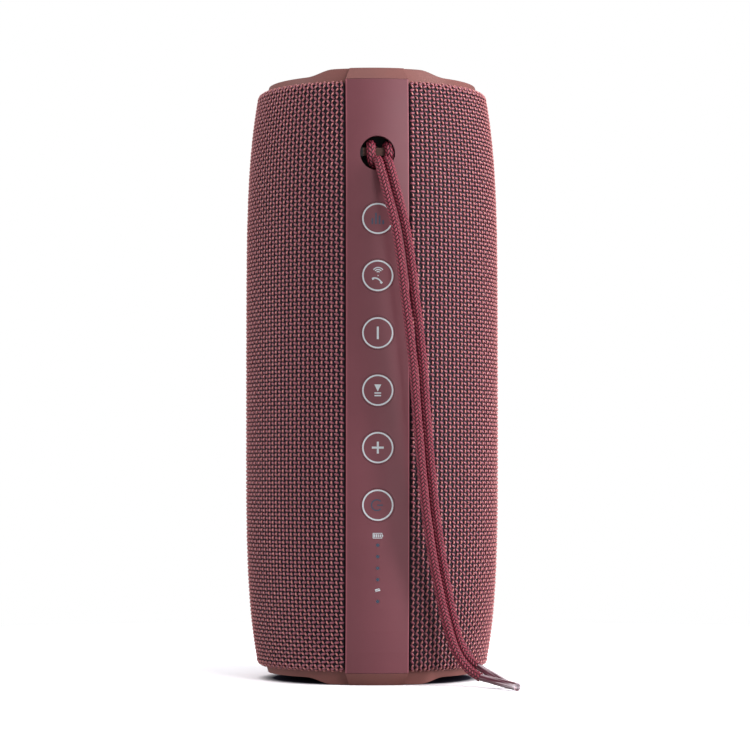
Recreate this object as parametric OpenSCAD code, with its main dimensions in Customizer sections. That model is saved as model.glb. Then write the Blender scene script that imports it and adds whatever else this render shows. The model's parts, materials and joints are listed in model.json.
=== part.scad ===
// Cylindrical portable party speaker standing on its end.
// The origin is the middle of the flat base, +Z runs up the barrel and the control strip faces -Y.

/* [Body] */
// Height of the whole speaker
body_h = 189; // [180:1:240]
// Radius of the cloth at the middle of the barrel
body_r = 40; // [39:0.5:52]
// How far the barrel draws in at each end
barrel_drop = 3.9; // [2:0.1:5]
// How late the barrel starts to draw in, where 2 is an even curve
barrel_power = 4.5; // [3:0.1:7]
// Height of the end cap that shows below the cloth
cap_h = 4; // [3:0.1:6]
// Depth of the scallops that open the rim of each end cap
scallop_d = 2; // [1:0.1:2.6]

/* [Cloth and shells] */
// Thickness of the woven cloth
cloth_t = 0.8; // [0.6:0.1:1.2]
// Radius of the cloth's rolled end edges
cloth_roll = 2.2; // [2:0.1:3]
// Wall of the grille shells under the cloth
shell_t = 1.6; // [1.2:0.1:2]
// Height of one sound slot in the grille shell
slot_h = 2; // [1.5:0.1:2.6]

/* [Rails] */
// Width of the control strip and of the rear rail
rail_w = 19.2; // [18:0.1:24]
// Thickness of the control strip and of the rear rail
rail_t = 2.2; // [1.8:0.1:2.4]
// How far the control strip stands proud of the cloth
rail_proud = 0.25; // [0.1:0.05:0.5]

/* [Controls] */
// Radius of a button cap
button_r = 5.08; // [4:0.02:5.4]
// Travel of a button
button_travel = 0.5; // [0.3:0.05:0.5]
// Distance from the top of the speaker to the middle of the lanyard hole
hole_inset = 27; // [24:0.5:32]
// Distance from the base to the lowest indicator
led_inset = 25.7; // [24:0.5:34]
// Radius of an indicator window
window_r = 0.5; // [0.4:0.05:0.8]

/* [Lanyard] */
// Radius of the lanyard hole
hole_r = 5.35; // [5.35:0.05:6]
// Depth of the lanyard cup under the strip
cup_depth = 6.6; // [6:0.1:7.5]
// How much wider the cup is than its hole, all round
cup_undercut = 0.75; // [0:0.05:0.9]
// Height of the lanyard bar
bar_h = 2.4; // [1.6:0.1:2.6]
// Depth of the lanyard bar, front to back
bar_d = 1.8; // [1.4:0.1:2]
// Diameter of the lanyard cord
cord_d = 2.9; // [2:0.1:2.9]
// Radius of the tube on each cord end
aglet_r = 1.2; // [1:0.05:1.3]

/* [Drivers] */
// Outer radius of a driver's flange
driver_r = 22; // [19:0.5:22]
// Distance between the two drivers
driver_pitch = 54; // [52:1:70]
// How far a driver's cone moves each way
cone_travel = 0.8; // [0.5:0.1:0.8]

/* [Passive radiators] */
// How far a passive radiator moves each way
radiator_travel = 1.5; // [1:0.1:1.5]
// Thickness of the rubber surround
surround_t = 0.7; // [0.5:0.05:0.8]
// Width of the surround's roll
roll_w = 5.5; // [4:0.1:5.5]
// Height of the surround's roll
roll_h = 1.6; // [1:0.1:1.6]
// How far the black frame lies inside the end cap's rim
frame_recess = 1.8; // [0.5:0.1:2]

/* [Power] */
// Radius of a battery cell
cell_r = 9.2; // [7:0.1:9.2]
// Length of a battery cell
cell_l = 65; // [50:1:70]

/* [Ports] */
// Height of the port door
door_h = 46; // [40:1:50]
// Half width of the port door
door_half = 6.7; // [6.6:0.1:7]
// Radius of the audio socket's bore
jack_r = 1.8; // [1.8:0.05:1.9]

/* [Cabinet] */
// Wall of the sealed cabinet tube
cabinet_wall = 2; // [1.6:0.1:2.6]
// Space kept between the cabinet and the outside of the cloth
cabinet_gap = 7; // [6.8:0.1:8]

/* [Hidden] */
$fn = 96;

mid_z = body_h / 2;
fit = 0.05;       // clearance between faces that touch
gap = 0.3;        // clearance beside a rail
eps = 0.01;
big = 4 * body_r; // longer than anything across the barrel

// Barrel: the radius at a height, drawn in towards both ends
barrel_steps = 28;
half_h = mid_z - cap_h;
function barrel(z, inset = 0) =
    body_r - inset - barrel_drop * pow(min(1, abs(z - mid_z) / half_h), barrel_power);
function barrel_line(z0, z1, inset, steps = barrel_steps) =
    [for (i = [0 : steps]) let (z = z0 + (z1 - z0) * i / steps) [barrel(z, inset), z]];

// Outline of a sleeve that rolls in at both ends, from its lower inner lip to its upper one
roll_steps = 6;
function sleeve_line(z0, inset, roll, lip) = concat(
    [[lip, z0]],
    [for (i = [0 : roll_steps]) let (a = 90 * i / roll_steps)
        [barrel(z0 + roll, inset) - roll + roll * sin(a), z0 + roll - roll * cos(a)]],
    [for (i = [1 : barrel_steps - 1]) let (z = z0 + roll + (body_h - 2 * (z0 + roll)) * i / barrel_steps)
        [barrel(z, inset), z]],
    [for (i = [0 : roll_steps]) let (a = 90 - 90 * i / roll_steps)
        [barrel(z0 + roll, inset) - roll + roll * sin(a), body_h - z0 - roll + roll * cos(a)]],
    [[lip, body_h - z0]]);
function back_to_front(line) = [for (i = [len(line) - 1 : -1 : 0]) line[i]];

// Rails
rail_gap_half = rail_w / 2 + gap;
rail_z0 = cap_h - 0.2;
leg_w = 1.4;
leg_d = 2.4;
rear_inset = 0.2;
foot_l = 22;
foot_half = 5.5;
foot_t = 1.2;
foot_inset = 20;

// End caps and radiator frames, at the bottom end; the top end is their mirror image
ring_r = body_r - cabinet_gap - 1.8;       // outside of the black frame
cap_in = ring_r + 0.15;
cap_r = cap_in + 2.05;
cap_foot_r = cap_r - 1.1;
cap_top_z = cap_h + 5;
lip_r = cap_r + 0.15;                       // the shells and the cloth end on the cap here
tab_top_r = barrel(rail_z0, -rail_proud) - 0.2;
tab_foot_r = tab_top_r - 2.7;
tab_foot_half = rail_w / 2 - 1.3;
scallop_x0 = 13;
scallop_x1 = 21.5;
rim_in = ring_r - 4.3;
ledge_in = rim_in - 2.3;
ledge_z = cap_h + 3;
frame_top_z = cap_top_z + 2;
end_screw_r = (ring_r + rim_in) / 2;
end_screw_count = 6;
screw_head_r = 1.7;
screw_head_h = 1.4;
screw_r = 0.9;
head_seat_z = 5.5;
end_screw_tip_z = frame_top_z + 4.5;

// Passive radiator: the skirt outside the roll is longer than the travel, so that it never folds
surround_z = ledge_z - surround_t / 2;
skirt_r = ledge_in - 0.2;
skirt_h = radiator_travel + 0.7;
plate_z = surround_z - skirt_h;
plate_r = skirt_r - roll_w - surround_t / 2 - 0.25;
plate_t = 1.6;
lip_w = 1.7;
weight_r = 12;
weight_t = 4;

// Cabinet
cabinet_r = body_r - cabinet_gap;
cabinet_in = cabinet_r - cabinet_wall;
cabinet_z0 = frame_top_z + fit;
end_flange_t = 5;
end_open_r = rim_in - 1.4;
seal_in = rim_in - 0.7;
seal_out = rim_in + 0.6;
seal_t = 1.1;

// Grille shells
shell_inset = cloth_t + fit;
grille_in = body_r - shell_inset - shell_t;
slot_count = 9;
slot_pitch = 4;
slot_arc = 36;

// Drivers: distances are measured along -X, outwards from the speaker's axis
flange_t = 1.4;
gasket_t = 0.5;
driver_z = [mid_z + driver_pitch / 2, mid_z - driver_pitch / 2];
shell_over_driver = barrel(driver_z[0] + driver_r / 2, shell_inset + shell_t);
baffle_u = sqrt(pow(shell_over_driver - 0.3, 2) - pow(driver_r, 2)) - flange_t - gasket_t;
seat_u = baffle_u + gasket_t;
basket_r = driver_r - 3.4;
basket_d = 10;
basket_t = 1;
edge_t = 0.4;
edge_skirt = cone_travel + 0.3;
edge_wall_r = basket_r - basket_t - edge_t / 2 - 0.2;
edge_roll_w = 3;
edge_roll_h = 0.9;
cone_r = edge_wall_r - edge_roll_w;
cone_rim_u = seat_u + flange_t + edge_skirt;
coil_r = 10.3;
magnet_r = driver_r - 7.5;
magnet_t = 8.1;
driver_screw_r = driver_r - 1.5;
driver_screw_count = 4;
driver_head_r = 1.4;
driver_shaft_r = 0.8;
boss_r = driver_r + 2.4;

// Control column: what lies between the lanyard hole and the lowest indicator, in button pitches
hole_z = body_h - hole_inset;
column_pitches = 7.83;
button_pitch = (hole_z - led_inset) / column_pitches;
button_count = 6;
first_button = 1.155;
function button_z(i) = hole_z - button_pitch * (first_button + i);
led_step = 0.2 * button_pitch;
led_z = [for (i = [0 : 3]) button_z(5) - 0.695 * button_pitch - i * led_step, led_inset];

// Control board and its switches
board_back = cabinet_r + 0.4;
board_t = 1.2;
board_front = board_back + board_t;
board_half = 7.5;
board_z0 = led_inset - 5;
board_z1 = button_z(0) + 7;
board_screw_z = [button_z(0) - button_pitch / 2, button_z(4) - button_pitch / 2];
board_screw_head_r = 1.6;
board_screw_shaft_r = 0.8;
switch_h = 1;
switch_half = 1.8;
plunger_r = 1.2;
flange_h = 0.6;
flange_over = 0.8;
led_h = 0.6;

// Lanyard cup and bar
cup_wall = 1.2;
chamber_r = hole_r + cup_undercut;
cup_front = barrel(hole_z, rail_t - rail_proud);
cup_back = cup_front - cup_depth;
cup_floor = 1.2;
land_r = rail_w / 2 - leg_w - 0.1;
land_y = cabinet_r + 0.6;
cup_seal_t = 0.6;
bar_half = chamber_r + 0.7;
bar_y = sqrt(pow(cup_front, 2) - pow(bar_half, 2)) - 0.1 - bar_d / 2;
bar_z = hole_z + 0.7;
boss_in = hole_r - 0.95;

// Ports, on +Y
bay_z0 = mid_z - 34;
hinge_z = bay_z0 + 2;
hinge_y = barrel(mid_z, rear_inset) - 1.8;
door_inset = rear_inset + 0.05;
door_t = 1.8;
door_swing_r = 1.75;
pin_r = 0.5;
pin_half = door_half + 1.6;
open_half = door_half + 0.2;
open_z0 = hinge_z - door_swing_r - 0.15;
open_z1 = hinge_z + door_h + 0.2;
bay_pocket = 0.8;
bay_floor_y = cabinet_r - bay_pocket;
bay_floor_t = 1.2;
bay_wall = 1.2;
port_board_y = cabinet_in - 6.6;
port_board_t = 1.6;
usb_z = hinge_z + door_h * 0.76;
aux_z = hinge_z + door_h * 0.5;
card_z = hinge_z + door_h * 0.24;
usb_half = 4.47;
usb_h = 3.2;
jack_body_r = 3;
card_half = 6;
card_h = 2;

// Battery and main board
cell_pitch = 2 * cell_r + 0.8;
cell_x = sqrt(pow(cabinet_in - 0.9 - cell_r, 2) - pow(cell_pitch / 2, 2));
holder_x0 = cell_x - cell_r - 2;
holder_half_h = cell_l / 2 + 3;
main_board_t = 1.6;
main_board_x = holder_x0 - 1.8 - main_board_t;
main_board_half = 21;
main_board_half_h = 46;

// Cord routes: the hitch wraps the bar twice, and the two strands hang from it to the ground
hitch_route = [
    [-0.7, -33.1, 161.8], [-1.1, -33.1, 163.3], [-1.6, -34, 164.7], [-1.9, -35.5, 165],
    [-2, -37, 164.4], [-2, -37.7, 163], [-1.9, -37.7, 161.3], [-1.6, -37.2, 159.7],
    [-0.9, -36.3, 158.6], [0.1, -35.5, 158.2], [1.2, -35.4, 158.1], [2.3, -35.7, 158.4],
    [3.1, -36.5, 159.4], [3.6, -37.4, 160.9], [3.7, -37.7, 162.4], [3.5, -37, 164],
    [3.3, -35.5, 164.7], [3, -34, 164.5], [2.6, -33.1, 163.3], [2.2, -33.1, 161.8]
];
left_route = [
    [-0.7, -33.1, 161.8], [-0.5, -33.9, 160.4], [-0.2, -35.6, 159.9], [0.1, -37.6, 160],
    [0.3, -39.2, 159.6], [0.6, -40.6, 158.5], [0.9, -41.6, 156.9], [1.5, -42.6, 154.4],
    [2.5, -43.7, 150.2], [3.5, -44.5, 146], [5.1, -45.3, 139], [6.5, -45.8, 130],
    [7.8, -46, 119], [9.2, -45.9, 108], [10.4, -45.7, 97], [11.3, -45.4, 86],
    [12.1, -45.1, 76], [13, -44.7, 66], [14, -44.1, 56], [15.2, -43.3, 47],
    [16.7, -42.1, 38], [18.3, -40.8, 30], [20.1, -39.6, 22], [22.2, -38.8, 14.5],
    [24.6, -38.8, 9], [27.6, -39.6, 5.2], [31, -42, 2.9]
];
right_route = [
    [2.2, -33.1, 161.8], [2.3, -33.9, 160.4], [2.5, -35.6, 159.9], [2.8, -37.6, 160],
    [3.1, -39, 159.6], [3.5, -40.4, 158.5], [3.9, -41.4, 156.9], [4.5, -42.3, 154.4],
    [5.5, -43.4, 150.2], [6.6, -44.1, 146], [8.2, -44.7, 139], [9.6, -45.1, 130],
    [10.9, -45.2, 119], [12.3, -45.1, 108], [13.4, -44.8, 97], [14.2, -44.4, 86],
    [15, -44, 76], [15.9, -43.5, 66], [16.9, -42.8, 56], [18.1, -41.9, 47],
    [19.5, -40.6, 38], [21, -39.2, 30], [22.6, -37.7, 22], [24.5, -36.4, 14.8],
    [26.4, -35.5, 10.4], [28.5, -35.6, 7.6], [30.6, -36.8, 5.8]
];
left_tip = [40.3, -60, 1.35];
right_tip = [38.3, -50.5, 1.35];
cord_sides = 8;

// A tube along a list of points: rings carried along without twist
function unit(v) = v / norm(v);
function tangents(p) =
    [for (i = [0 : len(p) - 1]) unit(p[min(i + 1, len(p) - 1)] - p[max(i - 1, 0)])];
function transported(t, n, i = 0) =
    i >= len(t) ? [] : let (m = unit(n - (n * t[i]) * t[i])) concat([m], transported(t, m, i + 1));

module tube(route, d) {
    t = tangents(route);
    n = transported(t, [0.9, 0.3, 0.3]);
    s = cord_sides;
    last = len(route) - 1;
    points = [for (i = [0 : last]) let (b = cross(t[i], n[i])) for (k = [0 : s - 1])
        route[i] + d / 2 * (cos(360 * k / s) * n[i] + sin(360 * k / s) * b)];
    sides = [for (i = [0 : last - 1]) for (k = [0 : s - 1])
        [i * s + k, (i + 1) * s + k, (i + 1) * s + (k + 1) % s, i * s + (k + 1) % s]];
    polyhedron(points, concat(sides, [[for (k = [0 : s - 1]) k]],
        [[for (k = [s - 1 : -1 : 0]) last * s + k]]));
}

// Solids that follow the barrel
module barrel_solid(z0, z1, inset, steps)
    rotate_extrude() polygon(concat([[0, z0]], barrel_line(z0, z1, inset, steps), [[0, z1]]));

module barrel_wall(z0, z1, inset, t)
    rotate_extrude() polygon(concat(barrel_line(z0, z1, inset),
        back_to_front(barrel_line(z0, z1, inset + t))));

module sleeve(z0, inset, roll, t)
    rotate_extrude() polygon(concat(sleeve_line(z0, inset, roll, lip_r),
        back_to_front(sleeve_line(z0 + t, inset + t, max(roll - t, 0.2), lip_r))));

// side is -1 for the left half and 1 for the right half, both clear of the rails
module half_only(side)
    translate([side * (rail_gap_half + big / 2), 0, mid_z]) cube([big, big, 2 * body_h], center = true);

module front_bar(half_w)
    translate([-half_w, -big, -eps]) cube([2 * half_w, big, body_h + 1]);

module at_front(z) translate([0, 0, z]) rotate([90, 0, 0]) children();
module at_back(z) translate([0, 0, z]) rotate([-90, 0, 0]) children();
module at_side(z) translate([0, 0, z]) rotate([0, -90, 0]) children();
module upper_end() translate([0, 0, body_h]) mirror([0, 0, 1]) children();
module ring(r_in, r_out, z0, z1) translate([0, 0, z0]) difference() {
    cylinder(r = r_out, h = z1 - z0);
    translate([0, 0, -1]) cylinder(r = r_in, h = z1 - z0 + 2);
}
module around(count, r, start = 0)
    for (i = [0 : count - 1]) rotate([0, 0, start + 360 * i / count]) translate([r, 0, 0]) children();
module both_ends() {
    children();
    upper_end() children();
}

// Cabinet: sealed tube with driver seats, end flanges and cut-outs
module cabinet_body() {
    ring(cabinet_in, cabinet_r, cabinet_z0, body_h - cabinet_z0);
    both_ends() ring(end_open_r, cabinet_r, cabinet_z0, cabinet_z0 + end_flange_t);
    intersection() {
        for (z = driver_z) at_side(z) translate([0, 0, cabinet_in - boss_r / 2])
            cylinder(r = boss_r, h = boss_r);
        barrel_solid(cabinet_z0, body_h - cabinet_z0, shell_inset + shell_t + 0.45, barrel_steps);
    }
    at_front(hole_z) translate([0, 0, cabinet_in - 2]) cylinder(r = land_r, h = land_y - cabinet_in + 2);
}
module cabinet() color([0.09, 0.09, 0.1]) difference() {
    cabinet_body();
    for (z = driver_z) at_side(z) {
        translate([0, 0, baffle_u]) cylinder(r = driver_r + 0.4, h = body_r);
        cylinder(r = basket_r + 0.3, h = body_r);
        around(driver_screw_count, driver_screw_r, 45)
            translate([0, 0, baffle_u - 5]) cylinder(r = driver_shaft_r + fit, h = body_r);
    }
    at_front(hole_z) cylinder(r = chamber_r + cup_wall + 0.15, h = body_r);
    for (z = board_screw_z) at_front(z) translate([0, 0, cabinet_in - 1])
        cylinder(r = board_screw_shaft_r + fit, h = body_r);
    at_back(aux_z) cylinder(r = jack_body_r + 0.3, h = body_r);
    translate([-rail_w / 2 + leg_w, bay_floor_y - fit, open_z0 - bay_wall - fit])
        cube([rail_w - 2 * leg_w, body_r, open_z1 - open_z0 + 2 * (bay_wall + fit)]);
    translate([-usb_half - 0.3, 0, usb_z - usb_h / 2 - 0.3]) cube([2 * usb_half + 0.6, body_r, usb_h + 0.6]);
    translate([-card_half - 0.3, 0, card_z - card_h / 2 - 0.3]) cube([2 * card_half + 0.6, body_r, card_h + 0.6]);
    both_ends() {
        ring(seal_in - fit, seal_out + fit, cabinet_z0 - eps, cabinet_z0 + seal_t + fit);
        around(end_screw_count, end_screw_r, 30)
            translate([0, 0, cabinet_z0 - 1]) cylinder(r = screw_r + fit, h = end_screw_tip_z - cabinet_z0 + 1.3);
    }
}

// Grille shells and cloth
module grille_half(side) difference() {
    intersection() {
        sleeve(cap_h + shell_inset, shell_inset, cloth_roll - cloth_t, shell_t);
        half_only(side);
    }
    if (side < 0) for (zc = driver_z) for (k = [0 : slot_count - 1])
        for (a = [180 - slot_arc - 2, 182]) rotate([0, 0, a])
            rotate_extrude(angle = slot_arc)
                translate([cabinet_r, zc + (k - (slot_count - 1) / 2) * slot_pitch - slot_h / 2])
                    square([big, slot_h]);
}
module grille_shell_left() color([0.07, 0.07, 0.09]) grille_half(-1);
module grille_shell_right() color([0.07, 0.07, 0.09]) grille_half(1);
module cloth_half(side) color([0.5, 0.25, 0.29]) intersection() {
    sleeve(cap_h, 0, cloth_roll, cloth_t);
    half_only(side);
}
module fabric_left() cloth_half(-1);
module fabric_right() cloth_half(1);

// Control strip on -Y, with side legs that stiffen it and end clear of the caps
module rail_legs(inset) intersection() {
    barrel_wall(rail_z0, body_h - rail_z0, inset + rail_t - eps, leg_d);
    for (s = [-1, 1]) translate([s * (rail_w / 2 - leg_w / 2), 0, mid_z])
        cube([leg_w, big, 2 * body_h], center = true);
}
module rail_blank(inset) difference() {
    intersection() {
        union() {
            barrel_wall(rail_z0, body_h - rail_z0, inset, rail_t);
            rail_legs(inset);
        }
        front_bar(rail_w / 2);
    }
    translate([0, 0, -1]) cylinder(r = lip_r, h = body_h + 2);
}
module control_strip() color([0.46, 0.27, 0.3]) difference() {
    rail_blank(-rail_proud);
    for (i = [0 : button_count - 1]) at_front(button_z(i)) cylinder(r = button_r + 0.1, h = big);
    for (z = led_z) at_front(z) cylinder(r = window_r + fit, h = big);
    at_front(hole_z) cylinder(r = hole_r, h = big);
}

// A button: cap that follows the strip, flange that keeps it in, and stem into its switch
module button(i) color([0.46, 0.27, 0.3]) {
    z = button_z(i);
    flange_y = barrel(z, rail_t - rail_proud) - flange_over;
    intersection() {
        at_front(z) {
            translate([0, 0, flange_y - flange_h]) cylinder(r = button_r + 0.8, h = flange_h);
            translate([0, 0, flange_y - flange_h]) cylinder(r = button_r, h = big);
        }
        barrel_solid(z - 7, z + 7, -rail_proud, 5);
    }
    at_front(z) translate([0, 0, board_front + switch_h - 0.15])
        cylinder(r = plunger_r, h = flange_y - flange_h - board_front - switch_h + 0.15 + eps);
}

// Control board with its switches, indicators and windows
module control_board() color([0.05, 0.16, 0.1]) difference() {
    translate([-board_half, -board_front, board_z0]) cube([2 * board_half, board_t, board_z1 - board_z0]);
    for (z = board_screw_z) at_front(z) cylinder(r = board_screw_shaft_r + 0.1, h = big);
}
module tact_switches() color([0.75, 0.75, 0.77])
    for (i = [0 : button_count - 1]) at_front(button_z(i)) difference() {
        translate([-switch_half, -switch_half, board_front + eps])
            cube([2 * switch_half, 2 * switch_half, switch_h - eps]);
        translate([0, 0, board_front + switch_h - button_travel - 0.3]) cylinder(r = plunger_r + 0.1, h = 2);
    }
module indicator_leds() color([0.9, 0.9, 0.8])
    for (z = led_z) at_front(z) translate([-0.8, -0.5, board_front + eps]) cube([1.6, 1, led_h]);
module indicator_windows() color([0.18, 0.22, 0.3])
    for (z = led_z) intersection() {
        at_front(z) translate([0, 0, board_front + led_h + 0.1]) cylinder(r = window_r, h = big);
        barrel_solid(z - 3, z + 3, -rail_proud, 1);
    }

// Lanyard cup in the strip, its seal on the cabinet and the bar across it
module lanyard_cup() color([0.05, 0.05, 0.07]) difference() {
    intersection() {
        at_front(hole_z) {
            translate([0, 0, cup_back]) cylinder(r = chamber_r + cup_wall, h = big);
            translate([0, 0, land_y + cup_seal_t]) cylinder(r = land_r - 0.1, h = 1.2);
        }
        barrel_solid(hole_z - 11, hole_z + 11, rail_t - rail_proud + fit, 7);
    }
    difference() {
        at_front(hole_z) translate([0, 0, cup_back + cup_floor]) cylinder(r = chamber_r, h = big);
        bar_bosses();
    }
    bar_block(fit);
}
module bar_bosses()
    for (s = [-1, 1]) translate([s * (boss_in + big / 2), -bar_y, bar_z])
        cube([big, bar_d + 0.5, bar_h + 0.5], center = true);
module bar_block(grow)
    translate([0, -bar_y, bar_z])
        cube([2 * bar_half + 2 * grow, bar_d + 2 * grow, bar_h + 2 * grow], center = true);
module lanyard_cup_seal() color([0.1, 0.1, 0.1])
    at_front(hole_z) ring(chamber_r + cup_wall + fit, land_r - 0.1, land_y + fit / 2, land_y + cup_seal_t - fit / 2);
module lanyard_bar() color([0.42, 0.4, 0.4]) bar_block(0);

// Lanyard: the hitch on the bar, two strands and the tubes on their ends
module lanyard_hitch() color([0.52, 0.17, 0.25]) tube(hitch_route, cord_d);
module lanyard_strand_left() color([0.52, 0.17, 0.25]) tube(left_route, cord_d);
module lanyard_strand_right() color([0.52, 0.17, 0.25]) tube(right_route, cord_d);
module aglet(route, tip) {
    start = route[len(route) - 1];
    way = tip - start;
    long = norm(way);
    color([0.38, 0.24, 0.25]) translate(start)
        rotate([0, acos(way[2] / long), atan2(way[1], way[0])]) {
            translate([0, 0, 0.05]) cylinder(r = aglet_r, h = long - 0.05);
        }
}
module aglet_left() aglet(left_route, left_tip);
module aglet_right() aglet(right_route, right_tip);

// Rear rail on +Y, with the port opening and two rubber feet let into it
module foot_prism(grow)
    for (z = [foot_inset + foot_l / 2, body_h - foot_inset - foot_l / 2]) {
        translate([-foot_half - grow, 0, z - foot_l / 2 + foot_half])
            cube([2 * (foot_half + grow), big, foot_l - 2 * foot_half]);
        for (s = [-1, 1]) at_back(z + s * (foot_l / 2 - foot_half)) cylinder(r = foot_half + grow, h = big);
    }
module rear_rail() color([0.46, 0.27, 0.3]) difference() {
    mirror([0, 1, 0]) rail_blank(rear_inset);
    intersection() {
        foot_prism(0.1);
        barrel_wall(rail_z0 + 1, body_h - rail_z0 - 1, -rail_proud - 1, foot_t + 1.1);
    }
    translate([-open_half, 0, open_z0]) cube([2 * open_half, big, open_z1 - open_z0]);
    translate([0, hinge_y, hinge_z]) rotate([0, 90, 0])
        cylinder(r = pin_r + fit, h = 2 * pin_half + 0.2, center = true);
    at_back(open_z1) translate([0, 0, barrel(open_z1, rear_inset + 1)]) cylinder(r = 2.6, h = big);
}
module rear_feet() color([0.1, 0.1, 0.11]) intersection() {
    foot_prism(0);
    barrel_wall(rail_z0 + 1, body_h - rail_z0 - 1, -rail_proud, foot_t);
}

// Port bay behind the rear rail, open towards +Y
module port_bay() color([0.06, 0.06, 0.07]) difference() {
    intersection() {
        translate([-open_half - bay_wall, bay_floor_y, open_z0 - bay_wall])
            cube([2 * (open_half + bay_wall), big, open_z1 - open_z0 + 2 * bay_wall]);
        barrel_solid(open_z0 - 3, open_z1 + 3, rear_inset + rail_t + fit, 9);
        translate([0, 0, mid_z]) cube([rail_w - 2 * leg_w - 0.1, big, body_h], center = true);
    }
    translate([-open_half, bay_floor_y + bay_floor_t, open_z0]) cube([2 * open_half, big, open_z1 - open_z0]);
    translate([-usb_half - fit, 0, usb_z - usb_h / 2 - fit]) cube([2 * (usb_half + fit), big, usb_h + 2 * fit]);
    at_back(aux_z) cylinder(r = jack_body_r + fit, h = big);
    translate([-card_half - fit, 0, card_z - card_h / 2 - fit]) cube([2 * (card_half + fit), big, card_h + 2 * fit]);
}
module door_axis() translate([0, hinge_y, hinge_z]) rotate([0, 90, 0]) children();
module port_door() color([0.46, 0.27, 0.3]) difference() {
    union() {
        intersection() {
            barrel_wall(open_z0 - 2, open_z1 + 2, door_inset, door_t);
            union() {
                translate([-door_half, 0, hinge_z]) cube([2 * door_half, big, door_h]);
                door_axis() cylinder(r = door_swing_r, h = 2 * door_half, center = true);
            }
        }
        door_axis() cylinder(r = pin_r + 0.5, h = 2 * door_half, center = true);
    }
    door_axis() cylinder(r = pin_r + 0.06, h = 2 * door_half + 1, center = true);
}
module port_door_pin() color([0.6, 0.6, 0.62]) door_axis() cylinder(r = pin_r, h = 2 * pin_half, center = true);

// Port board and the three sockets that stand on it
socket_y = bay_floor_y + bay_floor_t - 0.1;
socket_back = port_board_y + port_board_t + eps;
module port_board() color([0.05, 0.16, 0.1])
    translate([-8, port_board_y, card_z - 8]) cube([16, port_board_t, usb_z - card_z + 16]);
module usb_socket() color([0.7, 0.7, 0.72]) {
    difference() {
        translate([-usb_half, socket_back, usb_z - usb_h / 2]) cube([2 * usb_half, socket_y - socket_back, usb_h]);
        translate([-usb_half + 0.3, socket_back + 1, usb_z - usb_h / 2 + 0.3])
            cube([2 * usb_half - 0.6, big, usb_h - 0.6]);
    }
    translate([-3.3, socket_back + 1 - eps, usb_z - 0.35]) cube([6.6, socket_y - socket_back - 1.8, 0.7]);
}
module aux_socket() color([0.12, 0.12, 0.13]) at_back(aux_z) translate([0, 0, socket_back]) difference() {
    cylinder(r = jack_body_r, h = socket_y - socket_back);
    translate([0, 0, 1]) cylinder(r = jack_r, h = big);
}
module card_socket() color([0.7, 0.7, 0.72]) difference() {
    translate([-card_half, socket_back, card_z - card_h / 2]) cube([2 * card_half, socket_y - socket_back, card_h]);
    translate([-card_half + 0.4, socket_back + 1, card_z - 0.5]) cube([2 * card_half - 0.8, big, 1]);
}

// End cap: ring with a tab in line with each rail, and scallops between them
scallop_steps = 8;
module scallop_cut() for (s = [-1, 1]) scale_x(s)
    translate([0, big / 2, 0]) rotate([90, 0, 0]) linear_extrude(big) polygon(concat(
        [[scallop_x0, -1]],
        [for (i = [0 : scallop_steps]) let (a = 180 * i / scallop_steps)
            [scallop_x0 + (scallop_x1 - scallop_x0) * i / scallop_steps, scallop_d * (1 - cos(a)) / 2]],
        [[big / 2, scallop_d], [big / 2, -1]]));
module scale_x(s) mirror([s < 0 ? 1 : 0, 0, 0]) children();
module end_cap() color([0.42, 0.25, 0.22]) difference() {
    union() {
        rotate_extrude() polygon([
            [cap_in, 0.2], [cap_in + 0.2, 0], [cap_foot_r - 0.2, 0], [cap_foot_r, 0.2],
            [cap_r, cap_h], [cap_r, cap_top_z], [cap_in, cap_top_z]]);
        intersection() {
            rotate_extrude() polygon([
                [cap_in + 0.4, 0], [tab_foot_r - 0.3, 0], [tab_foot_r, 0.3],
                [tab_top_r, rail_z0 - 0.1], [cap_in + 0.4, rail_z0 - 0.1]]);
            translate([0, big / 2, 0]) rotate([90, 0, 0]) linear_extrude(big) polygon([
                [-tab_foot_half, 0], [tab_foot_half, 0],
                [rail_w / 2, rail_z0], [-rail_w / 2, rail_z0]]);
        }
    }
    scallop_cut();
}
module cap_bottom() end_cap();
module cap_top() upper_end() end_cap();

// Radiator frame: black ring inside the end cap, with recessed screws
module radiator_frame() color([0.04, 0.04, 0.05]) difference() {
    rotate_extrude() polygon([
        [rim_in, frame_recess + 0.4], [rim_in + 0.4, frame_recess],
        [ring_r - 0.4, frame_recess], [ring_r, frame_recess + 0.4],
        [ring_r, cap_top_z + fit], [cap_r - 0.2, cap_top_z + fit], [cap_r - 0.2, frame_top_z],
        [ledge_in, frame_top_z], [ledge_in, ledge_z], [rim_in, ledge_z]]);
    around(end_screw_count, end_screw_r, 30) {
        translate([0, 0, -1]) cylinder(r = screw_head_r + 0.15, h = head_seat_z + 1);
        cylinder(r = screw_r + 0.2, h = body_r);
    }
}
module radiator_frame_bottom() radiator_frame();
module radiator_frame_top() upper_end() radiator_frame();
module end_screw() {
    difference() {
        translate([0, 0, head_seat_z - screw_head_h]) cylinder(r = screw_head_r, h = screw_head_h);
        translate([0, 0, head_seat_z - screw_head_h - 1]) cylinder(r = 0.8, h = 1.8, $fn = 6);
    }
    translate([0, 0, head_seat_z - eps]) cylinder(r = screw_r, h = end_screw_tip_z - head_seat_z);
}
module end_screws() color([0.35, 0.35, 0.37]) both_ends() around(end_screw_count, end_screw_r, 30) end_screw();
module end_seals() color([0.1, 0.1, 0.1])
    both_ends() ring(seal_in, seal_out, cabinet_z0 - fit / 2, cabinet_z0 + seal_t);

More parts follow.
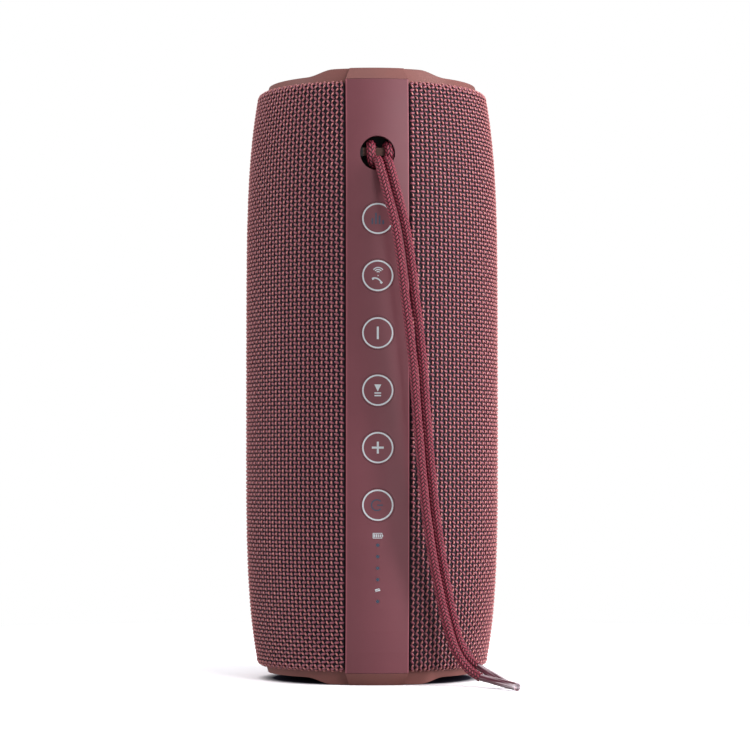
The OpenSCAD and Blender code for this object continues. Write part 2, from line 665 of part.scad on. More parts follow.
// Passive radiator: rubber surround and weighted disc. From its outer lip the surround drops as a
// skirt, then rolls across to the inner lip, which the disc holds.
arc_steps = 12;
function half_roll(r_mid, z, a, b, a0, a1) =
    [for (i = [0 : arc_steps]) let (w = a0 + (a1 - a0) * i / arc_steps) [r_mid + a * cos(w), z + b * sin(w)]];
module rolled_ring(lip_r, wall_r, roll, height, in_r, lip_z, drop, t) {
    h = t / 2;
    low_z = lip_z - drop;
    mid = wall_r - roll / 2;
    tuck = asin(h / (height + h));
    rotate_extrude() polygon(concat(
        [[lip_r, lip_z + h], [lip_r, lip_z - h], [wall_r + h, lip_z - h]],
        half_roll(mid, low_z, roll / 2 + h, height + h, 0, tuck - 180),
        [[in_r, low_z - h], [in_r, low_z + h], [wall_r - roll + h, low_z + h]],
        half_roll(mid, low_z, roll / 2 - h, height - h, -180, 0),
        [[wall_r - h, lip_z + h]]));
}
module radiator_surround() color([0.05, 0.05, 0.06])
    rolled_ring(rim_in - 0.1, skirt_r, roll_w, roll_h, plate_r - lip_w, surround_z, skirt_h, surround_t);
module radiator_surround_bottom() radiator_surround();
module radiator_surround_top() upper_end() radiator_surround();
module radiator_disc() color([0.2, 0.2, 0.21]) {
    low = plate_z - surround_t / 2;
    high = plate_z + surround_t / 2;
    rotate_extrude() polygon([
        [0, low - plate_t + 0.5], [plate_r * 0.55, low - plate_t + 0.5], [plate_r * 0.6, low - plate_t],
        [plate_r - 0.5, low - plate_t], [plate_r, low - plate_t + 0.5], [plate_r, low - fit / 2],
        [plate_r - lip_w - 0.1, low - fit / 2], [plate_r - lip_w - 0.1, high + fit / 2],
        [plate_r, high + fit / 2], [plate_r, high + 1], [weight_r, high + 1],
        [weight_r, high + 1 + weight_t], [0, high + 1 + weight_t]]);
}
module radiator_disc_bottom() radiator_disc();
module radiator_disc_top() upper_end() radiator_disc();

// A driver, on its own axis, with its flange's back at seat_u
module driver_frame() color([0.08, 0.08, 0.09]) difference() {
    translate([0, 0, seat_u]) rotate_extrude() polygon([
        [driver_r, 0], [driver_r, flange_t], [basket_r - basket_t, flange_t],
        [basket_r - basket_t - 1, -3], [magnet_r + 0.7, -basket_d], [magnet_r - 2.5, -basket_d],
        [magnet_r - 2.5, -basket_d - flange_t], [magnet_r + 1.7, -basket_d - flange_t],
        [basket_r - 1, -3], [basket_r, 0]]);
    around(4, magnet_r + 3) translate([-3.5, -4.5, seat_u - basket_d + 0.5]) cube([7, 9, basket_d - 4]);
    around(driver_screw_count, driver_screw_r, 45)
        translate([0, 0, seat_u - 1]) cylinder(r = driver_shaft_r + 0.15, h = 5);
}
module driver_magnet() color([0.45, 0.45, 0.47])
    translate([0, 0, seat_u - basket_d - flange_t - fit]) rotate_extrude() polygon([
        [0, 0], [coil_r - 0.6, 0], [coil_r - 0.6, -magnet_t + 1.6], [coil_r + 0.6, -magnet_t + 1.6],
        [coil_r + 0.6, 0], [magnet_r, 0], [magnet_r, -magnet_t], [0, -magnet_t]]);
module driver_cone() color([0.06, 0.06, 0.07]) translate([0, 0, cone_rim_u]) rotate_extrude() polygon([
    [0, -3.2], [4, -3.4], [8, -4.4], [coil_r + 0.1, -5.8], [cone_r, -0.5], [cone_r, 0],
    [cone_r - 0.6, 0], [coil_r + 0.2, -5], [8, -3.8], [4, -2.8], [0, -2.6]]);
module driver_coil() color([0.7, 0.4, 0.2]) translate([0, 0, cone_rim_u])
    ring(coil_r - 0.2, coil_r + 0.15, seat_u - cone_rim_u - basket_d - flange_t - 4, -5.3);
module driver_cone_and_coil() {
    driver_cone();
    driver_coil();
}
module driver_surround() color([0.05, 0.05, 0.06]) mirror([0, 0, 1])
    rolled_ring(driver_r - 3.1, edge_wall_r, edge_roll_w, edge_roll_h, cone_r - 1.2,
        -(seat_u + flange_t + edge_t / 2 + fit), edge_skirt, edge_t);
module driver_spider() color([0.75, 0.62, 0.35]) translate([0, 0, seat_u - basket_d + fit]) rotate_extrude() polygon([
    [magnet_r - 2.4, 0], [magnet_r + 0.4, 0], [magnet_r + 0.4, 0.4], [magnet_r - 2, 0.4], [coil_r + 0.9, 1.2],
    [coil_r + 0.25, 1.2], [coil_r + 0.25, 0.8], [coil_r + 0.8, 0.8]]);
module driver_screw() {
    translate([0, 0, seat_u + flange_t + eps]) cylinder(r = driver_head_r, h = 1);
    translate([0, 0, seat_u - 5]) cylinder(r = driver_shaft_r, h = 5 + flange_t + 2 * eps);
}
module driver_upper_frame() at_side(driver_z[0]) driver_frame();
module driver_upper_magnet() at_side(driver_z[0]) driver_magnet();
module driver_upper_cone() at_side(driver_z[0]) driver_cone_and_coil();
module driver_upper_surround() at_side(driver_z[0]) driver_surround();
module driver_upper_spider() at_side(driver_z[0]) driver_spider();
module driver_lower_frame() at_side(driver_z[1]) driver_frame();
module driver_lower_magnet() at_side(driver_z[1]) driver_magnet();
module driver_lower_cone() at_side(driver_z[1]) driver_cone_and_coil();
module driver_lower_surround() at_side(driver_z[1]) driver_surround();
module driver_lower_spider() at_side(driver_z[1]) driver_spider();
module driver_gaskets() color([0.12, 0.12, 0.12]) for (z = driver_z) at_side(z) difference() {
    ring(basket_r + 0.3, driver_r, baffle_u + fit / 2, seat_u - fit / 2);
    around(driver_screw_count, driver_screw_r, 45) cylinder(r = driver_shaft_r + 0.1, h = big);
}
module driver_screws() color([0.5, 0.5, 0.52])
    for (z = driver_z) at_side(z) around(driver_screw_count, driver_screw_r, 45) driver_screw();

// Battery cells in their holder, and the main board beside it
module cells(grow) for (s = [-1, 1]) translate([cell_x, s * cell_pitch / 2, mid_z - cell_l / 2 - grow])
    cylinder(r = cell_r + grow, h = cell_l + 2 * grow);
module battery_cells() color([0.2, 0.45, 0.7]) cells(0);
module battery_holder() color([0.1, 0.1, 0.11]) difference() {
    intersection() {
        translate([holder_x0, -cell_pitch + 0.4, mid_z - holder_half_h])
            cube([big, 2 * cell_pitch - 0.8, 2 * holder_half_h]);
        cylinder(r = cabinet_in - 0.3, h = body_h);
    }
    cells(0.1);
    translate([cell_x, -big / 2, mid_z - cell_l / 2 + 4]) cube([big, big, cell_l - 8]);
}
module main_board() color([0.05, 0.16, 0.1]) {
    translate([main_board_x, -main_board_half, mid_z - main_board_half_h])
        cube([main_board_t, 2 * main_board_half, 2 * main_board_half_h]);
    for (y = [-12, 12]) for (s = [-1, 1]) translate([main_board_x + main_board_t - eps, y, mid_z + s * 26])
        rotate([0, 90, 0]) cylinder(r = 1.6, h = holder_x0 - main_board_x - main_board_t - fit);
    translate([main_board_x - 1.4, -8, mid_z + 28]) cube([1.4 + eps, 9, 9]);
    for (y = [-14, 6]) translate([main_board_x - 3 + eps, y, mid_z + 4]) rotate([0, 90, 0]) cylinder(r = 4, h = 3);
    for (z = [-20, -34]) translate([main_board_x - 5 + eps, 0, mid_z + z]) rotate([0, 90, 0]) cylinder(r = 4, h = 5);
}
module board_screws() color([0.5, 0.5, 0.52]) for (z = board_screw_z) at_front(z) {
    translate([0, 0, board_front + eps]) cylinder(r = board_screw_head_r, h = 0.9);
    translate([0, 0, cabinet_in + 0.3]) cylinder(r = board_screw_shaft_r, h = board_front - cabinet_in);
}

cabinet();
grille_shell_left();
grille_shell_right();
fabric_left();
fabric_right();
control_strip();
button(0);  // button_mode
button(1);  // button_call
button(2);  // button_volume_down
button(3);  // button_play
button(4);  // button_volume_up
button(5);  // button_power
tact_switches();
control_board();
indicator_leds();
indicator_windows();
lanyard_cup();
lanyard_cup_seal();
lanyard_bar();
lanyard_hitch();
lanyard_strand_left();
lanyard_strand_right();
aglet_left();
aglet_right();
rear_rail();
rear_feet();
port_bay();
port_door();
port_door_pin();
port_board();
usb_socket();
aux_socket();
card_socket();
cap_top();
cap_bottom();
radiator_frame_top();
radiator_frame_bottom();
radiator_surround_top();
radiator_surround_bottom();
radiator_disc_top();
radiator_disc_bottom();
end_seals();
end_screws();
driver_upper_frame();
driver_upper_magnet();
driver_upper_cone();
driver_upper_surround();
driver_upper_spider();
driver_lower_frame();
driver_lower_magnet();
driver_lower_cone();
driver_lower_surround();
driver_lower_spider();
driver_gaskets();
driver_screws();
battery_cells();
battery_holder();
main_board();
board_screws();
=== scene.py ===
"""Looks of a cloth-covered portable speaker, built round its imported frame.

Lengths are in metres and colours are linear. The speaker stands on z = 0 and its control strip faces -Y.
"""

import json
import math

import bmesh
import bpy
import numpy as np
from bpy.props import FloatProperty, FloatVectorProperty, IntProperty, PointerProperty
from bpy.types import Operator, Panel, PropertyGroup
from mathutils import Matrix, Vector

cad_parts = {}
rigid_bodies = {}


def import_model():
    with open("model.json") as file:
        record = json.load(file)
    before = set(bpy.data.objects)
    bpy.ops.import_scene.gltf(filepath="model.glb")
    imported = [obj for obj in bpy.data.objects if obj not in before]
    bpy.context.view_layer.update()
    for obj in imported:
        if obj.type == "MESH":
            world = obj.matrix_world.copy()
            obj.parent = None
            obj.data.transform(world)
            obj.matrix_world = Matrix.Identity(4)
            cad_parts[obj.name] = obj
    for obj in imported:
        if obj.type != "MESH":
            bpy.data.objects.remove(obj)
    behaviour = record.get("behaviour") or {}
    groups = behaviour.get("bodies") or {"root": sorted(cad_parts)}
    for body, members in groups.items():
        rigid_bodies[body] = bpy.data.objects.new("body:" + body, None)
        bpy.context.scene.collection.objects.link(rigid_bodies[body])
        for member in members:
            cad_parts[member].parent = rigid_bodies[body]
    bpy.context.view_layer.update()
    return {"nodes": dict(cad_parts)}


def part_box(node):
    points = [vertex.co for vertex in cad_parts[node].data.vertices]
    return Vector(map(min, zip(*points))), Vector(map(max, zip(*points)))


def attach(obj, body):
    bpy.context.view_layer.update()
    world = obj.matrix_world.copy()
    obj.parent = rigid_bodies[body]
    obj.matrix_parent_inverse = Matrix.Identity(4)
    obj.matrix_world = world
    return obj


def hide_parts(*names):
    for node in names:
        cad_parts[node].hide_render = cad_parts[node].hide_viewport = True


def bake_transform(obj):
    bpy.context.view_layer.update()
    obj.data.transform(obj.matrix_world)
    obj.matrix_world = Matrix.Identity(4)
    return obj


bl_info = {
    "name": "Cloth speaker looks",
    "version": (1, 0, 0),
    "blender": (4, 5, 0),
    "location": "3D View > Sidebar > Speaker",
    "description": "Builds the woven cloth, cords, keys, end caps and studio of a portable speaker",
    "category": "Object",
}

for leftover in list(bpy.data.objects):
    bpy.data.objects.remove(leftover)
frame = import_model()

MM = 0.001
UV_BAKE = "OFBake"
UV_YARN = "Yarn"
# Points closer than this are one point
SAME_POINT = 1e-7
# Plies of the cloth's yarn: radians of slant along a knuckle and round it; radians of ply across a stitch
PLY_LEAN = 9.0
PLY_ROUND = 44.0
BRAID_PLIES = 26.0
# A knuckle's roundness, the cloth's gap beside the strip, and the ground's
KNUCKLE_POWER = 0.45
STRIP_GAP = 0.35 * MM
SEAM = 0.02 * MM
# How late and how softly the weave leans, and how far one knuckle differs from the next
LEAN_POWER = 2.2
LEAN_SOFT = 0.07
WANDER = {"place": 0.02 * MM, "turn": math.radians(1.6), "length": 0.03, "depth": 0.015 * MM}
# The cord's facets round and along it, and the direction that its first facet faces
CORD_SIDES = 72
CORD_STEP = 0.13 * MM
CORD_FIRST = (0.9, 0.3, 0.3)
# The key's hidden flange, and the lamp windows' length and the pitches between the first and the last
KEY_FLANGE = 0.8 * MM
WINDOW_LONG = 1.0 * MM
WINDOW_PITCHES = 4.91

CLOTH_LOW, CLOTH_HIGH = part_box("fabric_left")
STRIP_LOW, STRIP_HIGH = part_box("control_strip")
BODY_RADIUS = -CLOTH_LOW.x
CLOTH_Z0, CLOTH_Z1 = CLOTH_LOW.z, CLOTH_HIGH.z
MID_Z = (CLOTH_Z0 + CLOTH_Z1) / 2
HALF_HEIGHT = (CLOTH_Z1 - CLOTH_Z0) / 2
STRIP_PROUD = -STRIP_LOW.y - BODY_RADIUS
CLOTH_EDGE_X = -CLOTH_HIGH.x

# Routes of the cords, through listed points, in millimetres
HITCH_ROUTE = [
    [-0.7, -33.1, 161.8], [-1.1, -33.1, 163.3], [-1.6, -34, 164.7], [-1.9, -35.5, 165],
    [-2, -37, 164.4], [-2, -37.7, 163], [-1.9, -37.7, 161.3], [-1.6, -37.2, 159.7],
    [-0.9, -36.3, 158.6], [0.1, -35.5, 158.2], [1.2, -35.4, 158.1], [2.3, -35.7, 158.4],
    [3.1, -36.5, 159.4], [3.6, -37.4, 160.9], [3.7, -37.7, 162.4], [3.5, -37, 164],
    [3.3, -35.5, 164.7], [3, -34, 164.5], [2.6, -33.1, 163.3], [2.2, -33.1, 161.8],
]
LEFT_ROUTE = [
    [-0.7, -33.1, 161.8], [-0.5, -33.9, 160.4], [-0.2, -35.6, 159.9], [0.1, -37.6, 160],
    [0.3, -39.2, 159.6], [0.6, -40.6, 158.5], [0.9, -41.6, 156.9], [1.5, -42.6, 154.4],
    [2.5, -43.7, 150.2], [3.5, -44.5, 146], [5.1, -45.3, 139], [6.5, -45.8, 130],
    [7.8, -46, 119], [9.2, -45.9, 108], [10.4, -45.7, 97], [11.3, -45.4, 86],
    [12.1, -45.1, 76], [13, -44.7, 66], [14, -44.1, 56], [15.2, -43.3, 47],
    [16.7, -42.1, 38], [18.3, -40.8, 30], [20.1, -39.6, 22], [22.2, -38.8, 14.5],
    [24.6, -38.8, 9], [27.6, -39.6, 5.2], [31, -42, 2.9],
]
RIGHT_ROUTE = [
    [2.2, -33.1, 161.8], [2.3, -33.9, 160.4], [2.5, -35.6, 159.9], [2.8, -37.6, 160],
    [3.1, -39, 159.6], [3.5, -40.4, 158.5], [3.9, -41.4, 156.9], [4.5, -42.3, 154.4],
    [5.5, -43.4, 150.2], [6.6, -44.1, 146], [8.2, -44.7, 139], [9.6, -45.1, 130],
    [10.9, -45.2, 119], [12.3, -45.1, 108], [13.4, -44.8, 97], [14.2, -44.4, 86],
    [15, -44, 76], [15.9, -43.5, 66], [16.9, -42.8, 56], [18.1, -41.9, 47],
    [19.5, -40.6, 38], [21, -39.2, 30], [22.6, -37.7, 22], [24.5, -36.4, 14.8],
    [26.4, -35.5, 10.4], [28.5, -35.6, 7.6], [30.6, -36.8, 5.8],
]
LEFT_TIP = [40.3, -60, 1.35]
RIGHT_TIP = [38.3, -50.5, 1.35]


def length_prop(name, description, default):
    """A length in metres that a user may change."""
    return FloatProperty(name=name, description=description, default=default, min=0, unit="LENGTH",
                         precision=5)


def colour_prop(name, description, default):
    """A linear colour that a user may change."""
    return FloatVectorProperty(name=name, description=description, default=default, size=3,
                               min=0, max=1, subtype="COLOR")


class ClothSettings(PropertyGroup):
    """Shape and weave of the cloth."""

    drop: length_prop("Barrel drop", "How far the barrel draws in at each end", 3.9 * MM)
    power: FloatProperty(name="Barrel power", description="How late the barrel draws in", default=4.5)
    roll: length_prop("Edge roll", "Radius of the cloth's rolled end edges", 2.2 * MM)
    lip: length_prop("Lip radius", "Radius at which the cloth ends on the cap", 33.55 * MM)
    columns: IntProperty(name="Columns", description="Warp and weft crossings round one half", default=65)
    row_pitch: length_prop("Row pitch", "Distance between rows of the weave", 1.213 * MM)
    warp_half: length_prop("Warp half length", "Half the length of a warp knuckle", 0.66 * MM)
    warp_wide: length_prop("Warp half width", "Half the width of a warp knuckle", 0.31 * MM)
    weft_half: length_prop("Weft half length", "Half the length of a weft knuckle", 0.93 * MM)
    weft_wide: length_prop("Weft half width", "Half the width of a weft knuckle", 0.42 * MM)
    thick: length_prop("Yarn half thickness", "Half the thickness of the yarn", 0.36 * MM)
    weft_sunk: length_prop("Weft depth", "How far the weft lies below the warp", 0.1 * MM)
    backing: length_prop("Backing depth", "Depth of the dark ground below the face", 0.62 * MM)
    backing_thick: length_prop("Backing thickness", "Thickness of the dark ground", 0.15 * MM)
    lean: FloatProperty(name="Lean", description="Turn of the weave at the ends", default=math.radians(38),
                        subtype="ANGLE")
    weft_tilt: FloatProperty(name="Weft tilt", description="Turn of the weft", default=math.radians(20),
                             subtype="ANGLE")
    # Each yarn's colour goes from a painted highlight on its crest to painted shade where it dips
    warp_crest_highlight: colour_prop("Warp", "Salmon of the upright yarn", (0.86, 0.32, 0.3))
    warp_painted_shade: colour_prop("Warp shade", "Upright yarn where it dips", (0.25, 0.045, 0.062))
    weft_crest_highlight: colour_prop("Weft", "Rose of the level yarn", (0.5, 0.135, 0.19))
    weft_painted_shade: colour_prop("Weft shade", "Level yarn where it dips", (0.1, 0.014, 0.03))
    ground_colour: colour_prop("Ground", "Dark ground between the yarns", (0.007, 0.003, 0.008))


class CordSettings(PropertyGroup):
    """Braid of the lanyard and the tubes on its ends."""

    diameter: length_prop("Diameter", "Diameter of the cord", 2.9 * MM)
    carriers: IntProperty(name="Carriers", description="Strands that turn one way", default=8)
    pick: length_prop("Pick", "Length of one stitch of the braid", 1.17 * MM)
    relief: length_prop("Relief", "Depth of the grooves of the braid", 0.42 * MM)
    slope: FloatProperty(name="Slope", description="Stitches that a strand rises across its column",
                         default=0.75)
    left_length: length_prop("Left strand", "Length of the left hanging strand", 0.17)
    right_length: length_prop("Right strand", "Length of the right hanging strand", 0.166)
    tube_radius: length_prop("Tube radius", "Radius of the tube on each end", 1.2 * MM)
    # The light colour is the strands' tops; the dark one is shade painted in the grooves between them
    light: colour_prop("Light", "Light side of the cord", (0.44, 0.056, 0.1))
    dark: colour_prop("Dark", "Grooves of the cord", (0.024, 0.002, 0.006))
    tube_colour: colour_prop("Tube", "Plum of the end tubes", (0.15, 0.045, 0.07))
    # The pale streaks are highlight painted along the tubes
    tube_streak_highlight: colour_prop("Tube streaks", "Pale streaks of the end tubes", (0.9, 0.8, 0.86))


class PrintSettings(PropertyGroup):
    """Rings and signs printed on the strip and its keys."""

    ring_width: length_prop("Ring width", "Width of the ring on a key", 0.46 * MM)
    ring_inset: length_prop("Ring inset", "How far the ring lies inside the key's edge", 0.35 * MM)
    stroke: length_prop("Stroke", "Width of a sign's stroke", 0.62 * MM)
    proud: length_prop("Proud", "How far the print stands above the face", 0.045 * MM)
    sunk: length_prop("Sunk", "How far the print reaches into the face", 0.12 * MM)
    light: colour_prop("Light print", "Pale grey of rings and signs", (0.6, 0.65, 0.69))
    dark: colour_prop("Dark print", "Slate blue of two signs and the dots", (0.045, 0.062, 0.105))


class BodySettings(PropertyGroup):
    """Colours of the moulded parts."""

    strip: colour_prop("Strip", "Strip, rail and keys", (0.182, 0.052, 0.068))
    cap: colour_prop("Cap", "End caps", (0.235, 0.086, 0.077))
    black: colour_prop("Black", "Frames, cup and door bay", (0.012, 0.012, 0.014))
    disc: colour_prop("Disc", "Radiator discs", (0.12, 0.12, 0.13))


class StageSettings(PropertyGroup):
    """Camera, lights and floor."""

    distance: length_prop("Distance", "From the camera to the speaker's axis", 0.877)
    turn: FloatProperty(name="Turn", description="Turn of the camera about the speaker",
                        default=math.radians(2.5), subtype="ANGLE")
    height: length_prop("Height", "Height of the lens", 62.5 * MM)
    aim_z: length_prop("Aim height", "Height that the camera looks at", 95.8 * MM)
    exposure: FloatProperty(name="Floor exposure", description="Brightness of the floor as seen",
                            default=1.8)
    surround: FloatProperty(name="Surroundings", description="Strength of the white surroundings",
                            default=0.36)
    aim_side: length_prop("Aim side", "How far right of the axis the camera looks", 0.95 * MM)
    lens: FloatProperty(name="Lens", description="Focal length in millimetres", default=132.58)


# ---------------------------------------------------------------- meshes

def mesh_of(name, points, polygons, smooth=True):
    """A mesh from a table of points and a list of face tables, each with one face to a row."""
    mesh = bpy.data.meshes.new(name)
    points = np.asarray(points, float).reshape(-1, 3)
    corners = np.concatenate([faces.ravel() for faces in polygons]).astype(np.int32)
    sizes = np.concatenate([np.full(len(faces), faces.shape[1]) for faces in polygons])
    starts = np.concatenate([[0], np.cumsum(sizes)[:-1]]).astype(np.int32)
    mesh.vertices.add(len(points))
    mesh.vertices.foreach_set("co", points.ravel())
    mesh.loops.add(len(corners))
    mesh.loops.foreach_set("vertex_index", corners)
    mesh.polygons.add(len(sizes))
    mesh.polygons.foreach_set("loop_start", starts)
    mesh.update(calc_edges=True)
    mesh.polygons.foreach_set("use_smooth", np.full(len(sizes), smooth))
    return mesh


def closed_up(mesh):
    """Merges doubled points, as at poles and seams, and turns the faces outwards."""
    work = bmesh.new()
    work.from_mesh(mesh)
    bmesh.ops.remove_doubles(work, verts=work.verts, dist=SAME_POINT)
    bmesh.ops.dissolve_degenerate(work, edges=work.edges, dist=SAME_POINT / 10)
    bmesh.ops.recalc_face_normals(work, faces=work.faces)
    work.to_mesh(mesh)
    work.free()
    return mesh


def set_uv(mesh, name, places):
    """Gives the mesh a UV map with one place for each face corner."""
    layer = mesh.uv_layers.new(name=name)
    layer.uv.foreach_set("vector", np.asarray(places, np.float32).ravel())


def corner_places(left, right, low, high):
    """Map places of the corners of quads: (left, low), (right, low), (right, high) and (left, high)."""
    corners = ((left, low), (right, low), (right, high), (left, high))
    return np.stack([np.stack(corner, 1) for corner in corners], axis=1)


def piece(name, mesh, material, body="housing", slot=None, stands_for=()):
    """Puts a mesh in the scene as a piece that rides on a body."""
    made = bpy.data.objects.new(name, mesh)
    bpy.context.scene.collection.objects.link(made)
    mesh.materials.append(material)
    if body:
        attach(made, body)
    if stands_for:
        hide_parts(*stands_for)
    return made


def grid_faces(rows, columns, closed_rows=False, closed_columns=False):
    """Quads between neighbours on a grid of points, joined end to end where a direction is closed."""
    i = np.arange(rows if closed_rows else rows - 1)[:, None]
    j = np.arange(columns if closed_columns else columns - 1)[None, :]
    i2, j2 = (i + 1) % rows, (j + 1) % columns
    quads = [i * columns + j, i * columns + j2, i2 * columns + j2, i2 * columns + j]
    return np.stack(quads, axis=-1).reshape(-1, 4)


def turned_piece(name, outline, material, flip_z=None, sides=160, sharp=35, **where):
    """A closed outline of (radius, height) turned about Z: (r cos a, r sin a, z) for a all the way round.
    With flip_z, the outline's heights are taken down from that height."""
    radius, height = np.array(outline, float).T[..., None]
    if flip_z is not None:
        height = flip_z - height
    angle = np.arange(sides) * 2 * np.pi / sides
    points = np.stack(np.broadcast_arrays(radius * np.cos(angle), radius * np.sin(angle), height), axis=-1)
    mesh = closed_up(mesh_of(name, points, [grid_faces(len(outline), sides, True, True)]))
    mesh.set_sharp_from_angle(angle=math.radians(sharp))
    return piece(name, mesh, material, **where)


def unit(vectors):
    """Vectors of length one."""
    return vectors / np.linalg.norm(vectors, axis=-1, keepdims=True)


def smooth_line(points, step):
    """Catmull-Rom curve through the points, taken again at equal steps along its length."""
    p = np.asarray(points, float)
    p = np.vstack([2 * p[0] - p[1], p, 2 * p[-1] - p[-2]])
    t = np.linspace(0, 1, 24, endpoint=False)[None, :, None]
    a, b, c, d = (p[k:len(p) - 3 + k][:, None, :] for k in range(4))
    curve = 0.5 * (2 * b + (c - a) * t + (2 * a - 5 * b + 4 * c - d) * t ** 2
                   + (3 * b - a - 3 * c + d) * t ** 3)
    curve = np.vstack([curve.reshape(-1, 3), p[-2]])
    along = np.concatenate([[0], np.cumsum(np.linalg.norm(np.diff(curve, axis=0), axis=1))])
    count = max(2, int(round(along[-1] / step)) + 1)
    places = np.linspace(0, along[-1], count)
    return np.stack([np.interp(places, along, curve[:, k]) for k in range(3)], axis=1), places


def carried_frames(line, first):
    """Two directions across the line at each point, carried along it without twist."""
    tangent = unit(np.gradient(line, axis=0))
    across = np.empty_like(tangent)
    side = np.asarray(first, float)
    for k, way in enumerate(tangent):
        side = side - way * side.dot(way)
        side = side / np.linalg.norm(side)
        across[k] = side
    return across, np.cross(tangent, across)


# ---------------------------------------------------------------- node groups and materials

def new_group(name, inputs, outputs):
    """An empty shader group with named sockets: (name, kind, default) in and (name, kind) out."""
    group = bpy.data.node_groups.new(name, "ShaderNodeTree")
    for socket, kind, default in inputs:
        made = group.interface.new_socket(name=socket, in_out="INPUT", socket_type=kind)
        made.default_value = default
    for socket, kind in outputs:
        group.interface.new_socket(name=socket, in_out="OUTPUT", socket_type=kind)
    return group, group.nodes.new("NodeGroupInput"), group.nodes.new("NodeGroupOutput")


def wire(tree, kind, links=(), **values):
    """A node with its plain values set and its inputs linked or set, each named by its socket or number."""
    node = tree.nodes.new(kind)
    for key, value in values.items():
        setattr(node, key, value)
    for socket, source in dict(links).items():
        if isinstance(source, bpy.types.NodeSocket):
            tree.links.new(source, node.inputs[socket])
        else:
            node.inputs[socket].default_value = source
    return node


def maths(tree, operation, a, b=0.0, c=0.0):
    """One Math node's result."""
    return wire(tree, "ShaderNodeMath", {0: a, 1: b, 2: c}, operation=operation).outputs[0]


def ranged(tree, value, low=0.0, high=1.0, out_low=0.0, out_high=1.0):
    """A value taken from one range to another and held inside it."""
    return wire(tree, "ShaderNodeMapRange", {0: value, 1: low, 2: high, 3: out_low, 4: out_high}).outputs[0]


def blend_colour(tree, factor, low, high):
    """A colour between two, by a factor."""
    def four(colour):
        return colour if isinstance(colour, bpy.types.NodeSocket) else (*colour, 1.0)
    node = wire(tree, "ShaderNodeMix", {0: factor, 6: four(low), 7: four(high)}, data_type="RGBA")
    return node.outputs[2]


def mottle_group():
    """Group: two sizes of noise in the object's own space give a tone and a height, from 0 to 1."""
    group, given, result = new_group(
        "Mottle",
        [("Vector", "NodeSocketVector", (0, 0, 0)), ("Coarse", "NodeSocketFloat", 120.0),
         ("Fine", "NodeSocketFloat", 2500.0), ("Share", "NodeSocketFloat", 0.5)],
        [("Tone", "NodeSocketFloat"), ("Height", "NodeSocketFloat")])
    coarse, fine = (wire(group, "ShaderNodeTexNoise", {"Vector": given.outputs["Vector"],
                                                       "Scale": given.outputs[size], "Detail": detail})
                    for size, detail in (("Coarse", 3.0), ("Fine", 2.0)))
    share = given.outputs["Share"]
    tone = wire(group, "ShaderNodeMix", {0: share, 2: coarse.outputs[0], 3: fine.outputs[0]})
    group.links.new(ranged(group, tone.outputs[0], 0.3, 0.7), result.inputs["Tone"])
    group.links.new(fine.outputs[0], result.inputs["Height"])
    return group


def braid_group():
    """Group: the same braid as the cord's mesh, as the height of the strands from 0 in the grooves to 1.

    u runs round the cord in columns and v along it in stitches. In each column the stitches rise to the
    right, in the next one to the left, half a stitch further on. Across a stitch the height is a parabola,
    and along it a half wave.
    """
    group, given, result = new_group(
        "Braid", [("Vector", "NodeSocketVector", (0, 0, 0)), ("Carriers", "NodeSocketFloat", 8.0),
                  ("Stitches", "NodeSocketFloat", 180.0), ("Slope", "NodeSocketFloat", 1.5)],
        [("Height", "NodeSocketFloat"), ("Ply", "NodeSocketFloat")])
    split = wire(group, "ShaderNodeSeparateXYZ", {0: given.outputs["Vector"]})
    u = maths(group, "MULTIPLY", split.outputs[0], given.outputs["Carriers"])
    v = maths(group, "MULTIPLY", split.outputs[1], given.outputs["Stitches"])
    odd = maths(group, "FLOORED_MODULO", maths(group, "FLOOR", u), 2.0)
    along = maths(group, "FRACT", u)
    way = maths(group, "MULTIPLY", maths(group, "MULTIPLY_ADD", odd, -2.0, 1.0), given.outputs["Slope"])
    rise = maths(group, "MULTIPLY", way, maths(group, "SUBTRACT", along, 0.5))
    level = maths(group, "SUBTRACT", maths(group, "MULTIPLY_ADD", odd, 0.5, v), rise)
    across = maths(group, "SUBTRACT", maths(group, "FRACT", level), 0.5)
    round_top = maths(group, "MULTIPLY_ADD", maths(group, "MULTIPLY", across, across), -4.0, 1.0)
    wave = maths(group, "SINE", maths(group, "MULTIPLY", along, math.pi))
    swell = maths(group, "MULTIPLY_ADD", wave, 0.5, 0.5)
    group.links.new(maths(group, "MULTIPLY", round_top, swell), result.inputs["Height"])
    ply = maths(group, "SINE", maths(group, "MULTIPLY", across, BRAID_PLIES))
    group.links.new(maths(group, "MULTIPLY_ADD", ply, 0.5, 0.5), result.inputs["Ply"])
    return group


# Shader groups and slot finishes, by name, as they are built
GROUPS = {}
FINISHES = {}


def shared(name):
    """A shader group, built the first time that a material asks for it."""
    if name not in GROUPS:
        GROUPS[name] = {"Mottle": mottle_group, "Braid": braid_group}[name]()
    return GROUPS[name]


def mottled(tree, place, coarse, fine, share=0.5):
    """The Mottle group, placed in a material with the sizes of its noise and the share of the fine one."""
    links = {"Vector": place, "Coarse": coarse, "Fine": fine, "Share": share}
    return wire(tree, "ShaderNodeGroup", links, node_tree=shared("Mottle"))


def start_material(name, metallic=0.0, **sockets):
    """An empty Principled material: its tree, shader and Object coordinates."""
    made = bpy.data.materials.new(name)
    made.use_nodes = True
    tree = made.node_tree
    shader = tree.nodes["Principled BSDF"]
    shader.inputs["Metallic"].default_value = metallic
    for socket, value in sockets.items():
        shader.inputs[socket.replace("_", " ")].default_value = value
    place = tree.nodes.new("ShaderNodeTexCoord").outputs["Object"]
    return made, tree, shader, place


